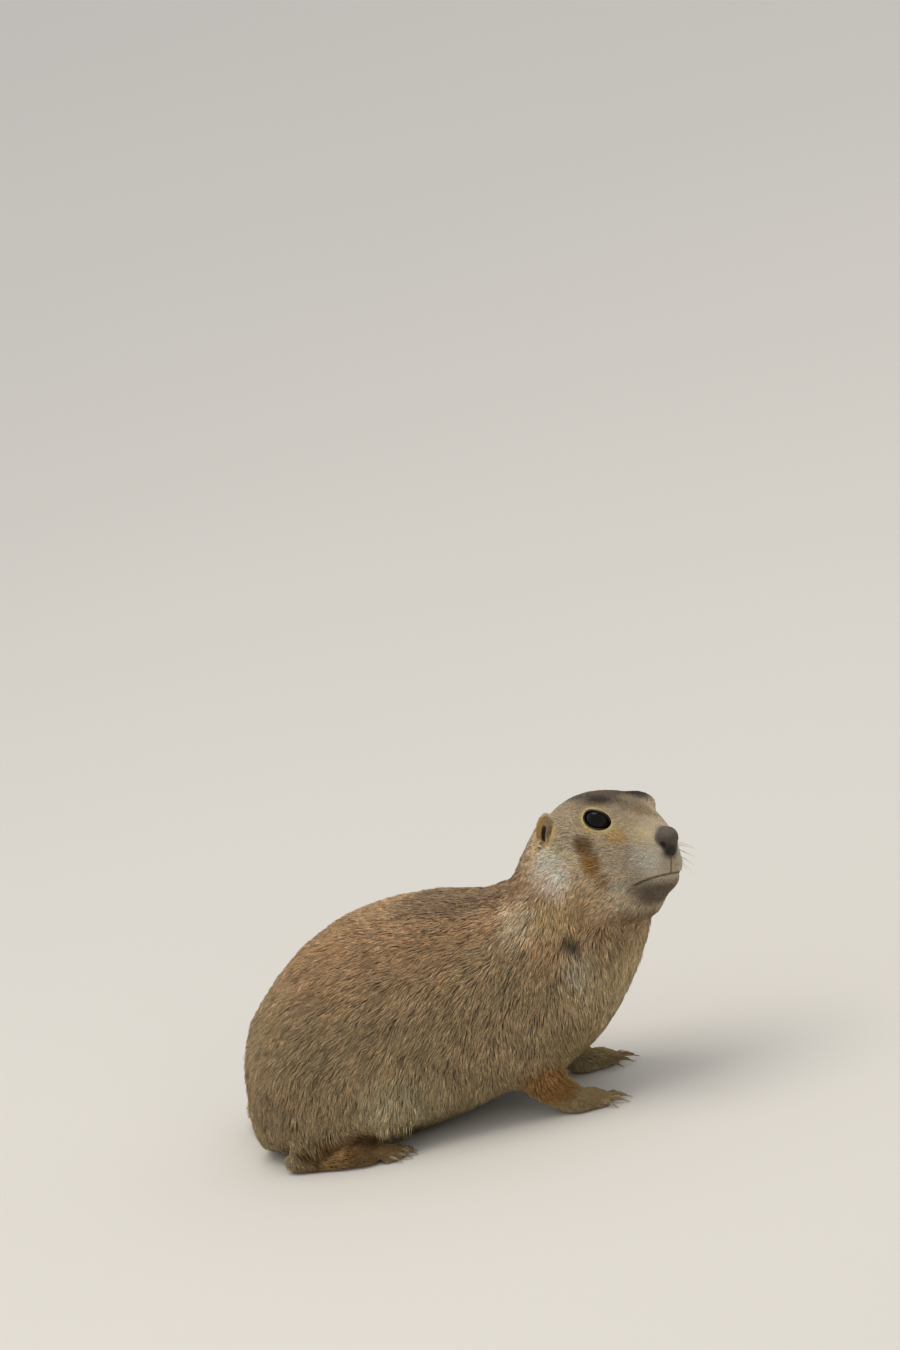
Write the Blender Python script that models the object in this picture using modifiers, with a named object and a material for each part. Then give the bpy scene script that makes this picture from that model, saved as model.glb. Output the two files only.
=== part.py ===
"""A prairie dog, life size, crouched on all fours with its head up, as a still model.

The animal looks along +X, with its left side at +Y and +Z up. Sizes are in millimetres until
finish() turns them to metres. The flesh is modelled whole, from lofts, tubes and ellipsoids that are
fused into one smooth skin. Thin cuts then part it into the pieces that a person would name.
"""

import math

import bmesh
import bpy
from mathutils import Matrix, Vector
from mathutils.bvhtree import BVHTree

MM = 0.001
GAP = 0.3  # between two nodes that touch
MERGE = 0.0001
SHARP = 50  # degrees between faces from which an edge stays sharp
ROUNDED_END = (30, 58, 78)  # degrees round a tube's end at which it has a ring
SIDES = {"right": -1, "left": 1}
UPRIGHT = Matrix.Identity(4)

# How the flesh is fused, softened and thinned out
VOXEL = 0.9
SKIN_ROUNDS = 6
TRUNK_ROUNDS = 220
HEAD_SOFTNESS = 0.15
JAW_LINE = -25  # in the head's frame: below it the skin softens as the trunk does
HEAD_TRIANGLES = 1800
BODY_TRIANGLES = 3300

# Trunk rings from the tail end to the nape: back line x, z, belly line x, z, half width
TRUNK = {
    "tail_end": (-140, 41, -143, 12, 13),
    "rump": (-137, 54, -141, 3, 27),
    "croup": (-126, 67, -130, 0, 39),
    "haunch": (-106, 83, -108, -0.5, 49),
    "loin": (-82, 93, -80, 0.5, 51),
    "ribs": (-60, 96, -55, 4, 47),
    "withers": (-38, 96.3, -28, 10, 41.5),
    "shoulder": (-21, 94.3, 5, 19, 36.5),
    "neck_base": (-7, 98, 28, 39, 32),
    "neck": (1.5, 110, 45, 65, 28.5),
    "nape": (12, 121, 51, 86, 25),
}
BACK_SQUARENESS = 2.2
BELLY_SQUARENESS = 3.6

# The head has its own frame, with its origin between the eyes
HEAD_AT = (52.4, -9, 120.3)
HEAD_TURN = -31.5
HEAD_DIP = 5
HEAD_ROLL = -16
# Head rings from the nape to the lips: x, crown z, throat z, half width
HEAD = {
    "nape": (-40, -8, -26, 10),
    "crown": (-34, -0.5, -31, 18),
    "ears": (-24, 6, -35, 23),
    "temples": (-12, 8.7, -36, 22.5),
    "brow": (0, 7.8, -35.5, 18.5),
    "bridge": (10, 5, -34.5, 14.5),
    "muzzle": (18, 1, -33, 11.5),
    "lips": (24, -4, -30, 9),
    "front": (28, -9, -25, 5),
}
NOSE = {"at": (25.8, 0, -6.3), "radii": (5.2, 4.9, 5.4)}
NOSE_LEAF = 1.1
CHIN = {"at": (19, 0, -27.5), "radii": (6.5, 6.5, 5)}
BROW = {"at": (-3.5, 11, 3.2), "radii": (10, 5.5, 5)}
THROAT = {"at": (9, 0, -33), "radii": (11.5, 12.5, 12)}
JOWL = {"at": (-8, 0, -36), "radii": (20, 21, 13)}
CHEEK = {"at": (-14, 13, -20), "radii": (15, 9.5, 14)}
WHISKER_PAD = {"at": (19, 6, -18), "radii": (8.5, 5.5, 6.5)}

EYE = {"at": (-3.2, 11.6, -0.8), "radius": 6.3, "ahead": 30, "above": 8}
LID_DEPTH = 1.0
LID_OPENING = (6.2, 3.8)
LID_SLANT = 8
NOSTRIL = {"at": (29.6, 2.9, -8.2), "radii": (2.6, 0.9, 1.5), "turn": (0, 0, 30)}
# Mouth line from the middle of the lips to the corner, then the cleft up to the nose
MOUTH = ((29, 0, -20.6), (26, 4.5, -21.6), (21, 8, -23.8), (16.5, 10, -26.2), (13.5, 11, -28.4))
CLEFT = ((31, 0, -12.5), (30.5, 0, -16), (29.5, 0, -19.5))
GROOVE = 0.6
EAR = {"at": (-27.5, 19.6, -8), "radii": (5.4, 4.2, 7.6), "turn": (12, 0, 20)}
EAR_CUP = {"step": (2.4, 2.6, 0), "radii": (4.6, 4.0, 6.4)}
EAR_CANAL = {"step": (1.0, -1.5, -1.5), "radii": (1.8, 3.6, 3.4)}

# Fore legs: x, distance from the middle, z, radius. The left one stands a little further back.
FORE_LEG = {
    "shoulder": (-12, 21, 56, 14),
    "elbow": (-15, 26, 27, 10.5),
    "wrist": (-2, 24, 8, 7.6),
}
FORE_STEP = {"right": 0, "left": -9}
PALM = {"at": (5, 23.5, 3.6), "radii": (11, 8, 4.8)}
FORE_TOES = {"fan": (-24, -8, 8, 24), "reach": (2.5, 5, 5.5, 3), "radius": 2.3, "claw": 6.5}

# Hind legs
THIGH = {"at": (-97, 32, 34), "radii": (35, 21, 35)}
SHANK = {"knee": (-68, 38, 24, 14), "hock": (-112, 43, 10, 8.5)}
HIND_FOOT = {"heel": (-117, 43, 4.6, 7.2), "ball": (-86, 48, 4.2, 7.6)}
HIND_TOES = {"fan": (-22, -11, 0, 11, 22), "reach": (5, 8, 9, 8, 5), "radius": 2.4, "claw": 4.5}
CLAW = {"rise": 0.8, "radii": (1.3, 1.05, 0.45)}
TOE_LEAVES = 6
TOE_SINK = 0.25

TAIL = {
    "root": (-128, 0, 20, 11),
    "rump": (-141, 6, 12, 9.5),
    "bend": (-150, 20, 8, 8.5),
    "middle": (-150, 38, 7, 8),
    "tip": (-143, 54, 5.5, 4.5),
}
TAIL_FLATNESS = 0.8

# Where the flesh is parted: a point of each plane and the way it faces
HEAD_CUT = {"at": (-38, 0, -15), "facing": (0.5, 0, 0.87)}
NECK_CUT = {"at": (8, 0, 71), "facing": (0.78, 0, 0.62)}
LIMB_LEAF = 1.8
LEG_CUT = {"at": (-10, 30, 28), "radii": (19, 18, 33), "lean": -14}
PAW_BOX = {"low": (-26, 8, -9), "high": (45, 60, 9.5)}
THIGH_CUT = {"at": (-96, 56, 34), "radii": (42, 27, 46)}
TOE_END = (-69, 51, 3.6, 9)
FOOT_FLATNESS = 0.85
TAIL_ROOT = "rump"

# Linear red, green, blue, then roughness
FINISHES = {
    "grizzled_fur": (0.23, 0.15, 0.085, 0.9),
    "buff_fur": (0.40, 0.29, 0.16, 0.9),
    "face_fur": (0.33, 0.24, 0.14, 0.9),
    "foot_fur": (0.42, 0.26, 0.12, 0.9),
    "ear_skin": (0.45, 0.30, 0.14, 0.8),
    "nose_skin": (0.08, 0.06, 0.05, 0.6),
    "cornea": (0.006, 0.005, 0.005, 0.08),
}
# The start of a node's name: its finish and the node it hangs from
MAKE_UP = {
    "torso": ("grizzled_fur", None),
    "neck": ("buff_fur", "torso"),
    "head": ("face_fur", "neck"),
    "nose": ("nose_skin", "head"),
    "eye": ("cornea", "head"),
    "ear": ("ear_skin", "head"),
    "thigh": ("grizzled_fur", "torso"),
    "hind_foot": ("foot_fur", "thigh"),
    "fore_leg": ("buff_fur", "torso"),
    "fore_paw": ("foot_fur", "fore_leg"),
    "tail": ("grizzled_fur", "torso"),
}


def clear_scene():
    for old in list(bpy.data.objects):
        bpy.data.objects.remove(old)


def new_collection(name):
    made = bpy.data.collections.new(name)
    bpy.context.scene.collection.children.link(made)
    return made


def new_object(name, bm, where):
    """An object that holds the bmesh, with its faces pointing out."""
    bmesh.ops.recalc_face_normals(bm, faces=bm.faces)
    mesh = bpy.data.meshes.new(name)
    bm.to_mesh(mesh)
    bm.free()
    made = bpy.data.objects.new(name, mesh)
    where.objects.link(made)
    return made


def new_cutter(name, bm, where):
    made = new_object(name, bm, where)
    made.hide_render = True
    made.display_type = "WIRE"
    return made


def on_side(values, side):
    """A point, or a point and a radius, given for the left side and put on either."""
    return (values[0], SIDES[side] * values[1], *values[2:])


def head_frame():
    place = Matrix.Translation(HEAD_AT)
    for angle, axis in ((HEAD_TURN, "Z"), (HEAD_DIP, "Y"), (HEAD_ROLL, "X")):
        place @= Matrix.Rotation(math.radians(angle), 4, axis)
    return place


def spline(rows, share):
    """The values at share, 0 to 1, of a smooth curve through equally spaced rows of numbers."""
    last = len(rows) - 1
    i = min(int(share * last), last - 1)
    t = share * last - i
    before, low, high, after = rows[max(i - 1, 0)], rows[i], rows[i + 1], rows[min(i + 2, last)]
    found = []
    for a, b, c, d in zip(before, low, high, after):
        cubic = (3 * b - a - 3 * c + d) * t**3
        square = (2 * a - 5 * b + 4 * c - d) * t**2
        found.append(0.5 * (2 * b + (c - a) * t + square + cubic))
    return found


def skin_over(bm, rings):
    """Joins equal rings of points into a closed skin with flat ends."""
    rows = [[bm.verts.new(point) for point in ring] for ring in rings]
    for low, high in zip(rows, rows[1:]):
        for s in range(len(low)):
            n = (s + 1) % len(low)
            bm.faces.new((low[s], low[n], high[n], high[s]))
    bm.faces.new(rows[0][::-1])
    bm.faces.new(rows[-1])


def loft(bm, rings, frame=UPRIGHT, around=40, along=60):
    """A skin through rings of back x, z, belly x, z and half width."""
    made = []
    for k in range(along + 1):
        back_x, back_z, belly_x, belly_z, wide = spline(rings, k / along)
        middle = Vector((back_x + belly_x, 0, back_z + belly_z)) / 2
        upward = Vector((back_x - belly_x, 0, back_z - belly_z)) / 2
        ring = []
        for s in range(around):
            angle = 2 * math.pi * s / around
            power = 2 / (BACK_SQUARENESS if s < around / 2 else BELLY_SQUARENESS)
            side = math.copysign(abs(math.cos(angle)) ** power, math.cos(angle))
            rise = math.copysign(abs(math.sin(angle)) ** power, math.sin(angle))
            ring.append(frame @ (middle + upward * rise + Vector((0, wide * side, 0))))
        made.append(ring)
    skin_over(bm, made)


def tube(bm, line, flatness=1.0, steps=6, around=16, ends=ROUNDED_END):
    """A tube with rounded ends through rows of x, y, z and radius."""
    count = (len(line) - 1) * steps
    rows = [spline(line, k / count) for k in range(count + 1)]
    centres = [Vector(row[:3]) for row in rows]
    radii = [row[3] for row in rows]
    across = Vector((0, 0, 1)).cross(centres[1] - centres[0])
    if across.length < 0.5 * (centres[1] - centres[0]).length:
        across = Vector((0, 1, 0))
    stations = list(zip(centres, radii))
    start = (centres[0] - centres[1]).normalized()
    end = (centres[-1] - centres[-2]).normalized()
    for degrees in ends:
        out, ring = math.sin(math.radians(degrees)), math.cos(math.radians(degrees))
        stations.insert(0, (centres[0] + start * out * radii[0], ring * radii[0]))
        stations.append((centres[-1] + end * out * radii[-1], ring * radii[-1]))
    made = []
    for k, (centre, radius) in enumerate(stations):
        after = stations[min(k + 1, len(stations) - 1)][0]
        ahead = after - stations[max(k - 1, 0)][0]
        across = (across - across.project(ahead)).normalized()
        upward = ahead.cross(across).normalized()
        ring = []
        for s in range(around):
            angle = 2 * math.pi * s / around
            spoke = across * math.cos(angle) + upward * math.sin(angle) * flatness
            ring.append(centre + spoke * radius)
        made.append(ring)
    skin_over(bm, made)


def ellipsoid(bm, at, radii, frame=UPRIGHT, turn=(0, 0, 0), segments=32):
    """A closed ellipsoid at a point of the frame, turned about its x, y and z axes by degrees."""
    place = frame @ Matrix.Translation(at)
    for angle, axis in zip(turn[::-1], "ZYX"):
        place @= Matrix.Rotation(math.radians(angle), 4, axis)
    place @= Matrix.Diagonal((*radii, 1))
    bmesh.ops.create_uvsphere(
        bm, u_segments=segments, v_segments=segments // 2, radius=1, matrix=place
    )


def box(bm, low, high, frame=UPRIGHT):
    size = Vector(high) - Vector(low)
    middle = (Vector(high) + Vector(low)) / 2
    place = frame @ Matrix.Translation(middle) @ Matrix.Diagonal((*size, 1))
    bmesh.ops.create_cube(bm, size=1, matrix=place)


def toes_of(foot, side):
    """For each toe of a foot: its root, the way it points, its reach and its sizes."""
    if foot == "fore":
        base = Vector(on_side(PALM["at"], side)) + Vector((FORE_STEP[side], 0, 0))
        toes = FORE_TOES
    else:
        base = Vector(on_side(HIND_FOOT["ball"][:3], side))
        toes = HIND_TOES
    for fan, reach in zip(toes["fan"], toes["reach"]):
        angle = math.radians(fan)
        way = Vector((math.cos(angle), SIDES[side] * math.sin(angle), 0))
        yield base + way * TOE_LEAVES, way, reach, toes


def add_head(bm):
    frame = head_frame()
    rings = [(x, crown, x, throat, wide) for x, crown, throat, wide in HEAD.values()]
    loft(bm, rings, frame)
    ellipsoid(bm, NOSE["at"], NOSE["radii"], frame)
    for bulge in (CHIN, THROAT, JOWL):
        ellipsoid(bm, bulge["at"], bulge["radii"], frame)
    for side in SIDES:
        for bulge in (BROW, CHEEK, WHISKER_PAD):
            ellipsoid(bm, on_side(bulge["at"], side), bulge["radii"], frame)


def add_legs(bm, side):
    step = Vector((FORE_STEP[side], 0, 0))
    joints = [list(on_side(row, side)) for row in FORE_LEG.values()]
    for row in joints[1:]:
        row[0] += step.x
    tube(bm, joints, steps=8)
    ellipsoid(bm, Vector(on_side(PALM["at"], side)) + step, PALM["radii"])
    ellipsoid(bm, on_side(THIGH["at"], side), THIGH["radii"])
    tube(bm, [on_side(row, side) for row in SHANK.values()])
    tube(bm, [on_side(row, side) for row in HIND_FOOT.values()], flatness=0.7)
    for foot in ("fore", "hind"):
        for root, way, reach, toes in toes_of(foot, side):
            radius = toes["radius"]
            knuckle = root + way * reach * 0.5 + Vector((0, 0, 0.7))
            tip = root + way * reach
            tip.z = radius - TOE_SINK
            tube(bm, ((*root, radius + 0.4), (*knuckle, radius), (*tip, radius)), steps=4)


def softness(point):
    """How much the trunk's softening moves a point: little on the head, not at all on the feet."""
    above_feet = min(max((point.z - 10) / 14, 0), 1)
    facing = Vector(HEAD_CUT["facing"])
    ahead = (head_frame().inverted() @ point - Vector(HEAD_CUT["at"])).dot(facing)
    behind_head = min(max(1 - ahead / 20, 0), 1)
    below_jaw = min(max((JAW_LINE - (head_frame().inverted() @ point).z) / 10, 0), 1)
    return above_feet * max(behind_head, below_jaw, HEAD_SOFTNESS)


def settle(obj):
    """Replaces the object's mesh with what its modifiers make of it."""
    graph = bpy.context.evaluated_depsgraph_get()
    mesh = bpy.data.meshes.new_from_object(obj.evaluated_get(graph))
    obj.modifiers.clear()
    obj.data = mesh


def thin_out(obj, triangles):
    """Collapses the object's edges until about that many triangles are left."""
    obj.data.calc_loop_triangles()
    less = obj.modifiers.new("thin out", "DECIMATE")
    less.ratio = triangles / len(obj.data.loop_triangles)
    settle(obj)


def fuse_flesh(where):
    """The whole animal without its eyes, ears and claws, as one closed skin."""
    bm = bmesh.new()
    loft(bm, list(TRUNK.values()))
    add_head(bm)
    for side in SIDES:
        add_legs(bm, side)
    tube(bm, list(TAIL.values()), flatness=TAIL_FLATNESS, steps=8)
    flesh = new_object("flesh", bm, where)
    remesh = flesh.modifiers.new("fuse", "REMESH")
    remesh.mode = "VOXEL"
    remesh.voxel_size = VOXEL
    settle(flesh)
    group = flesh.vertex_groups.new(name="trunk")
    for vertex in flesh.data.vertices:
        group.add([vertex.index], softness(vertex.co), "REPLACE")
    for rounds, name in ((SKIN_ROUNDS, ""), (TRUNK_ROUNDS, "trunk")):
        smooth = flesh.modifiers.new("soften", "SMOOTH")
        smooth.factor = 0.5
        smooth.iterations = rounds
        smooth.vertex_group = name
    settle(flesh)
    flesh.vertex_groups.clear()
    return flesh


def mesh_of(obj):
    bm = bmesh.new()
    bm.from_mesh(obj.data)
    return bm


def beyond(obj, name, at, facing):
    """A copy of the object with only what lies on the facing side of a plane, closed there."""
    bm = mesh_of(obj)
    everything = bm.verts[:] + bm.edges[:] + bm.faces[:]
    found = bmesh.ops.bisect_plane(
        bm, geom=everything, plane_co=at, plane_no=facing, clear_inner=True
    )
    rim = [edge for edge in found["geom_cut"] if isinstance(edge, bmesh.types.BMEdge)]
    bmesh.ops.triangle_fill(bm, edges=rim, use_beauty=True, normal=-Vector(facing))
    return new_object(name, bm, obj.users_collection[0])


def parted(obj, names, at, facing):
    """Two new objects from the two sides of a plane, half a gap away from it each."""
    facing = Vector(facing).normalized()
    half = facing * GAP / 2
    ahead = beyond(obj, names[0], at + half, facing)
    behind = beyond(obj, names[1], at - half, -facing)
    bpy.data.objects.remove(obj)
    return ahead, behind


def carve(obj, cutter, operation="DIFFERENCE"):
    """Cuts, joins or crosses the object with a cutter, and tidies what that leaves."""
    cut = obj.modifiers.new("carve", "BOOLEAN")
    cut.operation = operation
    cut.solver = "EXACT"
    cut.use_self = True
    cut.object = cutter
    settle(obj)
    for merge in (MERGE, 0):
        bm = mesh_of(obj)
        bmesh.ops.remove_doubles(bm, verts=bm.verts, dist=merge)
        bmesh.ops.dissolve_degenerate(bm, dist=merge, edges=bm.edges)
        bmesh.ops.triangulate(bm, faces=bm.faces)
        keep_largest(bm)
        if all(len(edge.link_faces) == 2 for edge in bm.edges):
            break
    bm.to_mesh(obj.data)
    bm.free()


def keep_largest(bm):
    """Leaves only the largest connected surface."""
    groups = []
    left = set(bm.faces)
    while left:
        start = left.pop()
        group = {start}
        queue = [start]
        while queue:
            for edge in queue.pop().edges:
                fresh = [face for face in edge.link_faces if face in left]
                left.difference_update(fresh)
                group.update(fresh)
                queue.extend(fresh)
        groups.append(group)
    groups.sort(key=lambda group: sum(face.calc_area() for face in group))
    spare = [face for group in groups[:-1] for face in group]
    bmesh.ops.delete(bm, geom=spare, context="FACES")


def split_off(obj, name, shape, tools):
    """Takes the part of the object inside a shape off as a new object, with a gap between them.

    shape is a function that adds the shape, grown by a margin, to a bmesh.
    """
    taken = obj.copy()
    taken.data = obj.data.copy()
    taken.name = name
    obj.users_collection[0].objects.link(taken)
    for target, margin, operation in ((taken, 0, "INTERSECT"), (obj, GAP, "DIFFERENCE")):
        bm = bmesh.new()
        shape(bm, margin)
        cutter = new_cutter(f"{name}_{operation.lower()}", bm, tools)
        carve(target, cutter, operation)
    return taken


def grown(row, margin):
    return (*row[:3], row[3] + margin)


def split_limbs(torso, tools):
    """The feet, legs, thighs and tail, each taken off the torso."""
    nodes = {}
    for side in SIDES:
        def paw(bm, margin):
            leaf = Vector((margin, margin, margin))
            low, high = Vector(PAW_BOX["low"]) - leaf, Vector(PAW_BOX["high"]) + leaf
            box(bm, on_side(low, side), on_side(high, side))

        def leg(bm, margin):
            at = Vector(on_side(LEG_CUT["at"], side)) + Vector((FORE_STEP[side], 0, 0))
            radii = [radius + margin for radius in LEG_CUT["radii"]]
            ellipsoid(bm, at, radii, turn=(0, LEG_CUT["lean"], 0), segments=24)

        def foot(bm, margin):
            rows = [on_side(row, side) for row in (*HIND_FOOT.values(), TOE_END)]
            rows = [grown(row, LIMB_LEAF + margin) for row in rows]
            tube(bm, rows, flatness=FOOT_FLATNESS, steps=2, around=12)

        def thigh(bm, margin):
            radii = [radius + margin for radius in THIGH_CUT["radii"]]
            ellipsoid(bm, on_side(THIGH_CUT["at"], side), radii, segments=24)

        for name, shape in (
            ("fore_paw", paw),
            ("fore_leg", leg),
            ("hind_foot", foot),
            ("thigh", thigh),
        ):
            nodes[f"{name}_{side}"] = split_off(torso, f"{name}_{side}", shape, tools)

    def tail(bm, margin):
        names = list(TAIL)
        rows = [TAIL[name] for name in names[names.index(TAIL_ROOT):]]
        tube(bm, [grown(row, LIMB_LEAF + margin) for row in rows], steps=3, around=12)

    nodes["tail"] = split_off(torso, "tail", tail, tools)
    return nodes


def add_claws(paw, foot, side, tools):
    bm = bmesh.new()
    for root, way, reach, toes in toes_of(foot, side):
        tip = root + way * reach
        tip.z = toes["radius"] + 0.6
        bend = tip + way * (toes["radius"] + toes["claw"] * 0.4) + Vector((0, 0, CLAW["rise"]))
        end = tip + way * (toes["radius"] + toes["claw"])
        end.z = CLAW["radii"][2]
        rows = [(*point, radius) for point, radius in zip((tip, bend, end), CLAW["radii"])]
        tube(bm, rows, steps=2, around=6, ends=())
    carve(paw, new_cutter(f"claws_{foot}_{side}", bm, tools), "UNION")


def eye_frame(side):
    """Its Z points out along the eye's axis, its X forward along the lids and its Y up."""
    place = head_frame() @ Matrix.Translation(on_side(EYE["at"], side))
    ahead, above = math.radians(EYE["ahead"]), math.radians(EYE["above"])
    out = Vector((
        math.sin(ahead) * math.cos(above),
        SIDES[side] * math.cos(ahead) * math.cos(above),
        math.sin(above),
    ))
    level = Vector((1, 0, -math.tan(math.radians(LID_SLANT))))
    along = (level - level.project(out)).normalized()
    turn = Matrix((along, out.cross(along), out)).transposed()
    return place @ turn.to_4x4()


def snapped(points, obj):
    """The points moved to the nearest place on the object's surface."""
    tree = BVHTree.FromPolygons(
        [vertex.co for vertex in obj.data.vertices],
        [face.vertices for face in obj.data.polygons],
    )
    return [tree.find_nearest(point)[0] for point in points]


def cut_groove(head, name, points, tools):
    """A fine groove along the head's surface near a line given in the head's frame."""
    last = 2 * len(points)
    line = [head_frame() @ Vector(spline(points, k / last)) for k in range(last + 1)]
    bm = bmesh.new()
    tube(bm, [(*point, GROOVE) for point in snapped(line, head)], steps=1, around=6)
    carve(head, new_cutter(name, bm, tools))


def turned(turn, side):
    return (SIDES[side] * turn[0], turn[1], SIDES[side] * turn[2])


def finish_face(head, tools):
    """Cuts the eyes, lids, nostrils, mouth and ears, and returns the new pieces."""
    frame = head_frame()
    where = head.users_collection[0]
    nodes = {}
    for side in SIDES:
        socket = eye_frame(side)
        radius = EYE["radius"]
        reach = 2 * radius
        opening = socket @ Matrix.Translation((0, 0, reach / 2))
        opening @= Matrix.Diagonal((*LID_OPENING, reach, 1))
        ball = bmesh.new()
        ellipsoid(ball, (0, 0, 0), [radius + LID_DEPTH] * 3, socket, segments=20)
        almond = bmesh.new()
        bmesh.ops.create_cone(
            almond, cap_ends=True, segments=24, radius1=1, radius2=1, depth=1, matrix=opening
        )
        hollow = bmesh.new()
        ellipsoid(hollow, (0, 0, 0), [radius + GAP] * 3, socket, segments=16)
        for name, bm, operation in (
            ("lid_ball", ball, "UNION"),
            ("lids", almond, "DIFFERENCE"),
            ("socket", hollow, "DIFFERENCE"),
        ):
            carve(head, new_cutter(f"{name}_{side}", bm, tools), operation)
        bm = bmesh.new()
        ellipsoid(bm, (0, 0, 0), (radius, radius, radius), socket, segments=18)
        nodes[f"eye_{side}"] = new_object(f"eye_{side}", bm, where)

        at = Vector(on_side(EAR["at"], side))
        turn = turned(EAR["turn"], side)
        bm = bmesh.new()
        ellipsoid(bm, at, [size + GAP for size in EAR["radii"]], frame, turn, 16)
        carve(head, new_cutter(f"ear_seat_{side}", bm, tools))
        bm = bmesh.new()
        ellipsoid(bm, at, EAR["radii"], frame, turn, 16)
        ear = new_object(f"ear_{side}", bm, where)
        for name, hollow in (("ear_cup", EAR_CUP), ("ear_canal", EAR_CANAL)):
            bm = bmesh.new()
            step = Vector(on_side(hollow["step"], side))
            ellipsoid(bm, at + step, hollow["radii"], frame, turn, 12)
            carve(ear, new_cutter(f"{name}_{side}", bm, tools))
        nodes[f"ear_{side}"] = ear

    def nose(bm, margin):
        radii = [size + NOSE_LEAF + margin for size in NOSE["radii"]]
        ellipsoid(bm, NOSE["at"], radii, frame, segments=16)

    nodes["nose"] = split_off(head, "nose", nose, tools)
    for side in SIDES:
        bm = bmesh.new()
        at = on_side(NOSTRIL["at"], side)
        ellipsoid(bm, at, NOSTRIL["radii"], frame, turned(NOSTRIL["turn"], side), 12)
        carve(nodes["nose"], new_cutter(f"nostril_{side}", bm, tools))
    right = [on_side(point, "right") for point in MOUTH[:0:-1]]
    cut_groove(head, "mouth", [*right, *MOUTH], tools)
    cut_groove(head, "cleft", CLEFT, tools)
    return nodes


def stand_on_floor(obj):
    """Cuts the object level with the floor."""
    if min(vertex.co.z for vertex in obj.data.vertices) >= 0:
        return obj
    name = obj.name
    cut = beyond(obj, f"{name}_cut", Vector((0, 0, 0)), (0, 0, 1))
    bpy.data.objects.remove(obj)
    cut.name = name
    return cut


def material_of(name, finish):
    made = bpy.data.materials.new(f"{name}_{finish}")
    made.use_nodes = True
    shader = made.node_tree.nodes["Principled BSDF"]
    *colour, roughness = FINISHES[finish]
    shader.inputs["Base Color"].default_value = (*colour, 1)
    shader.inputs["Roughness"].default_value = roughness
    made.diffuse_color = (*colour, 1)
    return made


def finish(nodes):
    """Turns the nodes to metres about the middle of their floor, and hangs them together."""
    corners = [vertex.co for node in nodes.values() for vertex in node.data.vertices]
    low, high = (Vector(pick(axis) for axis in zip(*corners)) for pick in (min, max))
    origin = Vector(((low.x + high.x) / 2, (low.y + high.y) / 2, low.z))
    pivots = {}
    for name, node in nodes.items():
        points = [vertex.co for vertex in node.data.vertices]
        pivots[name] = sum(points, Vector()) / len(points)
        node.data.transform(Matrix.Scale(MM, 4) @ Matrix.Translation(-pivots[name]))
        node.data.shade_smooth()
        node.data.set_sharp_from_angle(angle=math.radians(SHARP))
    for name, node in nodes.items():
        start = next(key for key in MAKE_UP if name.startswith(key))
        look, parent = MAKE_UP[start]
        node.data.materials.append(material_of(name, look))
        base = origin
        if parent:
            side = name.rpartition("_")[2]
            parent = f"{parent}_{side}" if f"{parent}_{side}" in nodes else parent
            node.parent = nodes[parent]
            base = pivots[parent]
        node.location = (pivots[name] - base) * MM


def main():
    clear_scene()
    animal = new_collection("prairie_dog")
    tools = new_collection("cutters")
    frame = head_frame()
    facing = frame.to_3x3() @ Vector(HEAD_CUT["facing"])
    flesh = fuse_flesh(animal)
    head, body = parted(flesh, ("head", "body"), frame @ Vector(HEAD_CUT["at"]), facing)
    thin_out(head, HEAD_TRIANGLES)
    thin_out(body, BODY_TRIANGLES)
    neck, torso = parted(body, ("neck", "torso"), Vector(NECK_CUT["at"]), NECK_CUT["facing"])
    nodes = {"torso": torso, "neck": neck, "head": head}
    nodes.update(split_limbs(torso, tools))
    for side in SIDES:
        add_claws(nodes[f"fore_paw_{side}"], "fore", side, tools)
        add_claws(nodes[f"hind_foot_{side}"], "hind", side, tools)
    nodes.update(finish_face(head, tools))
    for name, node in nodes.items():
        nodes[name] = stand_on_floor(node)
    finish(nodes)


main()
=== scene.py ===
import math

import bmesh
import bpy
import numpy as np
from mathutils import Matrix, Vector
from mathutils.bvhtree import BVHTree
from mathutils.kdtree import KDTree


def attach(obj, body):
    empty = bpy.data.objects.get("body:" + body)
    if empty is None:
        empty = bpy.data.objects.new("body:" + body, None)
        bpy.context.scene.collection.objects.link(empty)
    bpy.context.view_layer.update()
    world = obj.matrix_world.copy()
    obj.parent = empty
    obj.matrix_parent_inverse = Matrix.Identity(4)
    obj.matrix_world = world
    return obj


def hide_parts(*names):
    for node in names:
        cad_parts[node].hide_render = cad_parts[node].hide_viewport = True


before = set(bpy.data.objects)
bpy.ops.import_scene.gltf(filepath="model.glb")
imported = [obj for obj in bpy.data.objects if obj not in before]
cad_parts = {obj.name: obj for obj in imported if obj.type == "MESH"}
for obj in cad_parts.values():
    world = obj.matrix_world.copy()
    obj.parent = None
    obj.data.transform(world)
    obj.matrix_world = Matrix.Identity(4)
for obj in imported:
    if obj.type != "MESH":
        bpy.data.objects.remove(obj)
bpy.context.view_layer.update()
print("frame loaded:", len(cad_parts), "nodes")

mm = 0.001
midline = -1.56  # the body's own middle, mm from the frame's
sides = {"Right": -1, "Left": 1}
rng = np.random.default_rng(7)

# The head has its own axes: x out through the nose, y to the animal's left, z up through the crown
headPose = {"at": (93.26, -10.56, 120.3), "turn": -31.5, "dip": 5, "roll": -16}


def headMatrix():
    place = Matrix.Translation(headPose["at"])
    for angle, axis in ((headPose["turn"], "Z"), (headPose["dip"], "Y"), (headPose["roll"], "X")):
        place @= Matrix.Rotation(math.radians(angle), 4, axis)
    return place


headPlace = headMatrix()
headAxes = np.array(headPlace.to_3x3())
headCentre = np.array(headPose["at"])


def inHead(points):
    return (points - headCentre) @ headAxes


# A place given for the left side, as it is on this one
def sided(place, side):
    return Vector((place[0], sides[side] * place[1], place[2]))


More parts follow.
